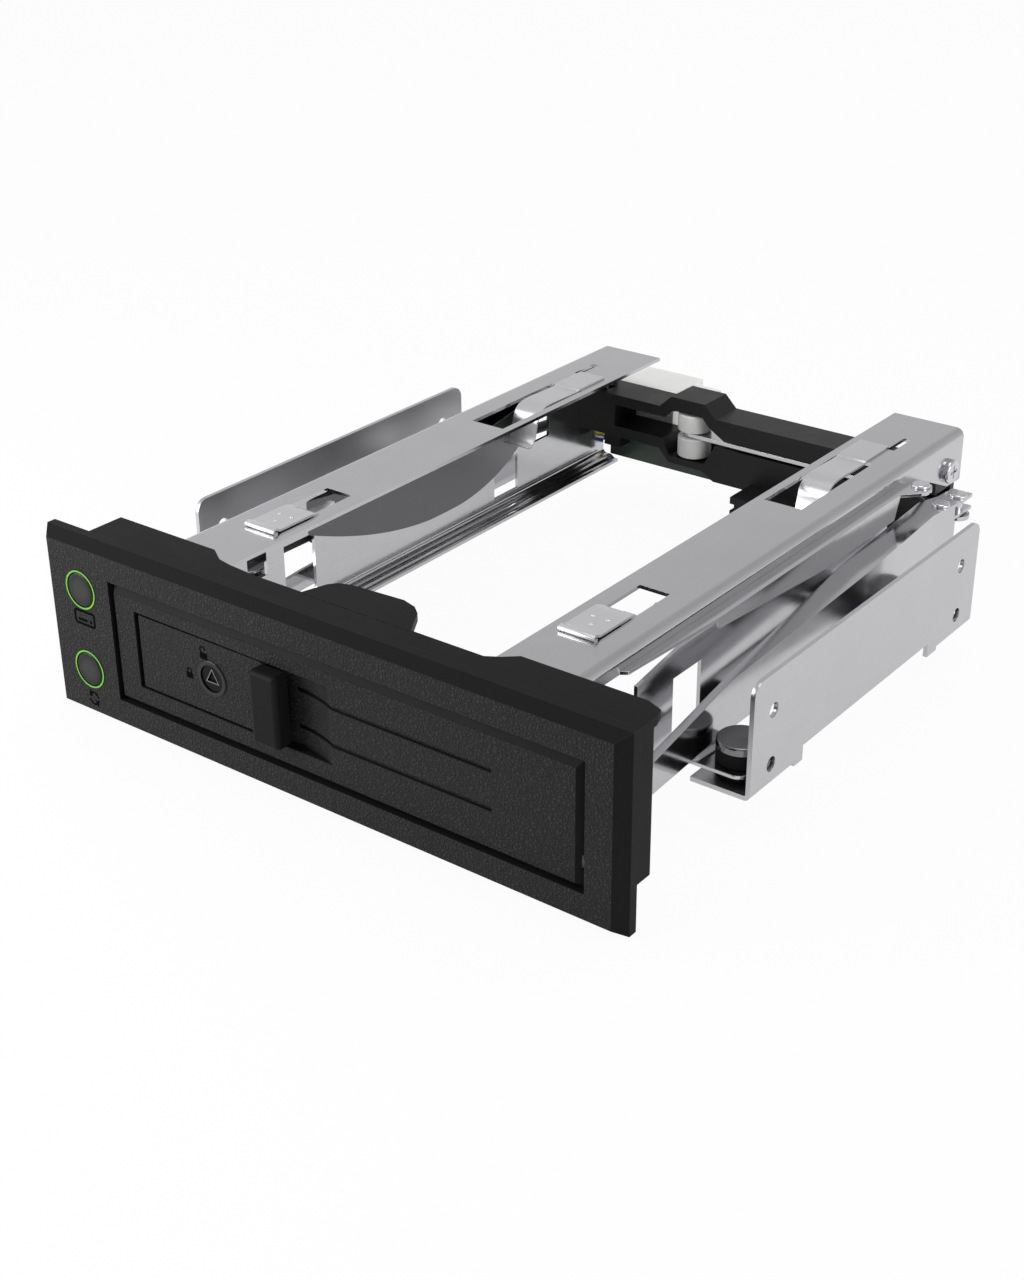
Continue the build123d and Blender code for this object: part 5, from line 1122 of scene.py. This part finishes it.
def white_world(stage):
    """World that looks white, lights evenly but less from the front, and is graded where it is mirrored."""
    world = bpy.data.worlds.new("studio")
    world.use_nodes = True
    tree = world.node_tree
    tree.nodes.clear()
    path = put(tree, "LightPath").outputs
    direction = put(tree, "SeparateXYZ", {0: put(tree, "TexCoord").outputs["Generated"]}).outputs
    height = remap(tree, direction[2], -0.1, 0.9, *HEIGHT_GRADE)
    side = remap(tree, direction[0], -0.9, 0.9, *SIDE_GRADE)
    front = remap(tree, direction[1], -0.9, 0.0, FRONT_GRADE, 1.0)
    back = remap(tree, direction[1], 0.2, 0.9, 1.0, BACK_GRADE)
    upright = maths(tree, "MULTIPLY", height, side)
    mirrored = maths(tree, "MULTIPLY", upright, maths(tree, "MULTIPLY", front, back))
    seen = maths(tree, "MAXIMUM", path["Is Glossy Ray"], path["Is Transmission Ray"])
    from_front = remap(tree, direction[1], -0.8, 0.2, FRONT_SHARE * stage.ambient, stage.ambient)
    level = maths(tree, "ADD", maths(tree, "MULTIPLY", seen, mirrored),
                  maths(tree, "MULTIPLY", maths(tree, "SUBTRACT", 1.0, seen), from_front))
    level = maths(tree, "MAXIMUM", level, path["Is Camera Ray"])
    background = put(tree, "Background", {"Color": WHITE, "Strength": level})
    output = put(tree, "OutputWorld")
    tree.links.new(background.outputs[0], output.inputs[0])
    bpy.context.scene.world = world


def floor_look():
    """Floor that looks white with a faint shadow, and is pale and matt to the light that falls on it."""
    made = bpy.data.materials.new("pale_floor")
    made.use_nodes = True
    tree = made.node_tree
    tree.nodes.clear()
    path = put(tree, "LightPath").outputs
    seen = maths(tree, "MAXIMUM", path["Is Glossy Ray"], path["Is Transmission Ray"])
    share = maths(tree, "MAXIMUM", maths(tree, "MULTIPLY", path["Is Camera Ray"], FLOOR_SEEN),
                  maths(tree, "MULTIPLY", seen, FLOOR_MIRRORED))
    matt = put(tree, "BsdfDiffuse", {"Color": (0.8, 0.8, 0.8, 1)})
    glow = put(tree, "Emission", {"Color": WHITE, "Strength": 1.0})
    both = put(tree, "MixShader", {0: share, 1: matt.outputs[0], 2: glow.outputs[0]})
    output = put(tree, "OutputMaterial")
    tree.links.new(both.outputs[0], output.inputs[0])
    return made


def aim_camera(stage):
    """Camera at the photograph's viewing angle."""
    back = Vector((math.sin(stage.azimuth) * math.cos(stage.elevation),
                   -math.cos(stage.azimuth) * math.cos(stage.elevation), math.sin(stage.elevation)))
    across = Vector((0, 0, 1)).cross(back).normalized()
    upward = back.cross(across)
    right = across * math.cos(stage.roll) + upward * math.sin(stage.roll)
    top = upward * math.cos(stage.roll) - across * math.sin(stage.roll)
    lens = bpy.data.cameras.new("camera")
    lens.lens = stage.lens
    lens.sensor_width = 36.0
    lens.clip_start = 0.01
    camera = bpy.data.objects.new("camera", lens)
    bpy.context.scene.collection.objects.link(camera)
    turn = Matrix((right, top, back)).transposed().to_4x4()
    camera.matrix_world = Matrix.Translation(stage.place) @ turn
    bpy.context.scene.camera = camera


class CAGE_OT_stage(Operator):
    """Set the camera, the floor, the world and three soft lamps"""
    bl_idname = "cage.stage"
    bl_label = "Stage"

    def execute(self, context):
        stage = context.scene.cage_stage
        context.scene.view_settings.view_transform = "Standard"
        aim_camera(stage)
        white_world(stage)
        half = stage.floor_size / 2
        corners = np.array([(-half, -half, 0), (half, -half, 0), (half, half, 0), (-half, half, 0)])
        floor = mesh_object("floor", corners, [[0, 1, 2, 3]])
        floor.data.materials.append(floor_look())
        middle = (0.0, 0.0, 0.02)
        lamp("key_lamp", (-0.24, -0.32, 0.16), (-0.04, -0.08, 0.02), (0.28, 0.28), stage.key)
        lamp("fill_lamp", (0.85, -0.06, 0.30), middle, (0.5, 0.4), stage.fill)
        lamp("top_lamp", (0.10, 0.0, 0.95), middle, (0.5, 0.5), stage.top)
        return {"FINISHED"}


STEPS = (
    CAGE_OT_stage, CAGE_OT_mouldings, CAGE_OT_sheet_metal, CAGE_OT_springs, CAGE_OT_fasteners,
    CAGE_OT_dampers, CAGE_OT_connectors, CAGE_OT_buttons, CAGE_OT_lock, CAGE_OT_symbols, CAGE_OT_boards,
    CAGE_OT_lead,
)


class CAGE_PT_finish(Panel):
    """Lists the steps of the finish"""
    bl_label = "Drive Cage"
    bl_idname = "CAGE_PT_finish"
    bl_space_type = "VIEW_3D"
    bl_region_type = "UI"
    bl_category = "Drive Cage"

    def draw(self, context):
        column = self.layout.column()
        for kind in STEPS:
            column.operator(kind.bl_idname)
        for group in (context.scene.cage_colours, context.scene.cage_sizes, context.scene.cage_stage):
            box = column.box()
            for name in group.bl_rna.properties.keys():
                if name not in ("rna_type", "name"):
                    box.prop(group, name)


CLASSES = (CageColours, CageSizes, CageStage, *STEPS, CAGE_PT_finish)


def register():
    """Register the classes and keep the settings on the scene."""
    for kind in CLASSES:
        bpy.utils.register_class(kind)
    bpy.types.Scene.cage_colours = PointerProperty(type=CageColours)
    bpy.types.Scene.cage_sizes = PointerProperty(type=CageSizes)
    bpy.types.Scene.cage_stage = PointerProperty(type=CageStage)


def unregister():
    """Take the settings and the classes away again."""
    del bpy.types.Scene.cage_stage
    del bpy.types.Scene.cage_sizes
    del bpy.types.Scene.cage_colours
    for kind in reversed(CLASSES):
        bpy.utils.unregister_class(kind)


def main():
    """Run every step in order."""
    register()
    bpy.ops.cage.stage()
    bpy.ops.cage.mouldings()
    bpy.ops.cage.sheet_metal()
    bpy.ops.cage.springs()
    bpy.ops.cage.fasteners()
    bpy.ops.cage.dampers()
    bpy.ops.cage.connectors()
    bpy.ops.cage.buttons()
    bpy.ops.cage.lock()
    bpy.ops.cage.symbols()
    bpy.ops.cage.boards()
    bpy.ops.cage.lead()


if __name__ == "__main__":
    main()
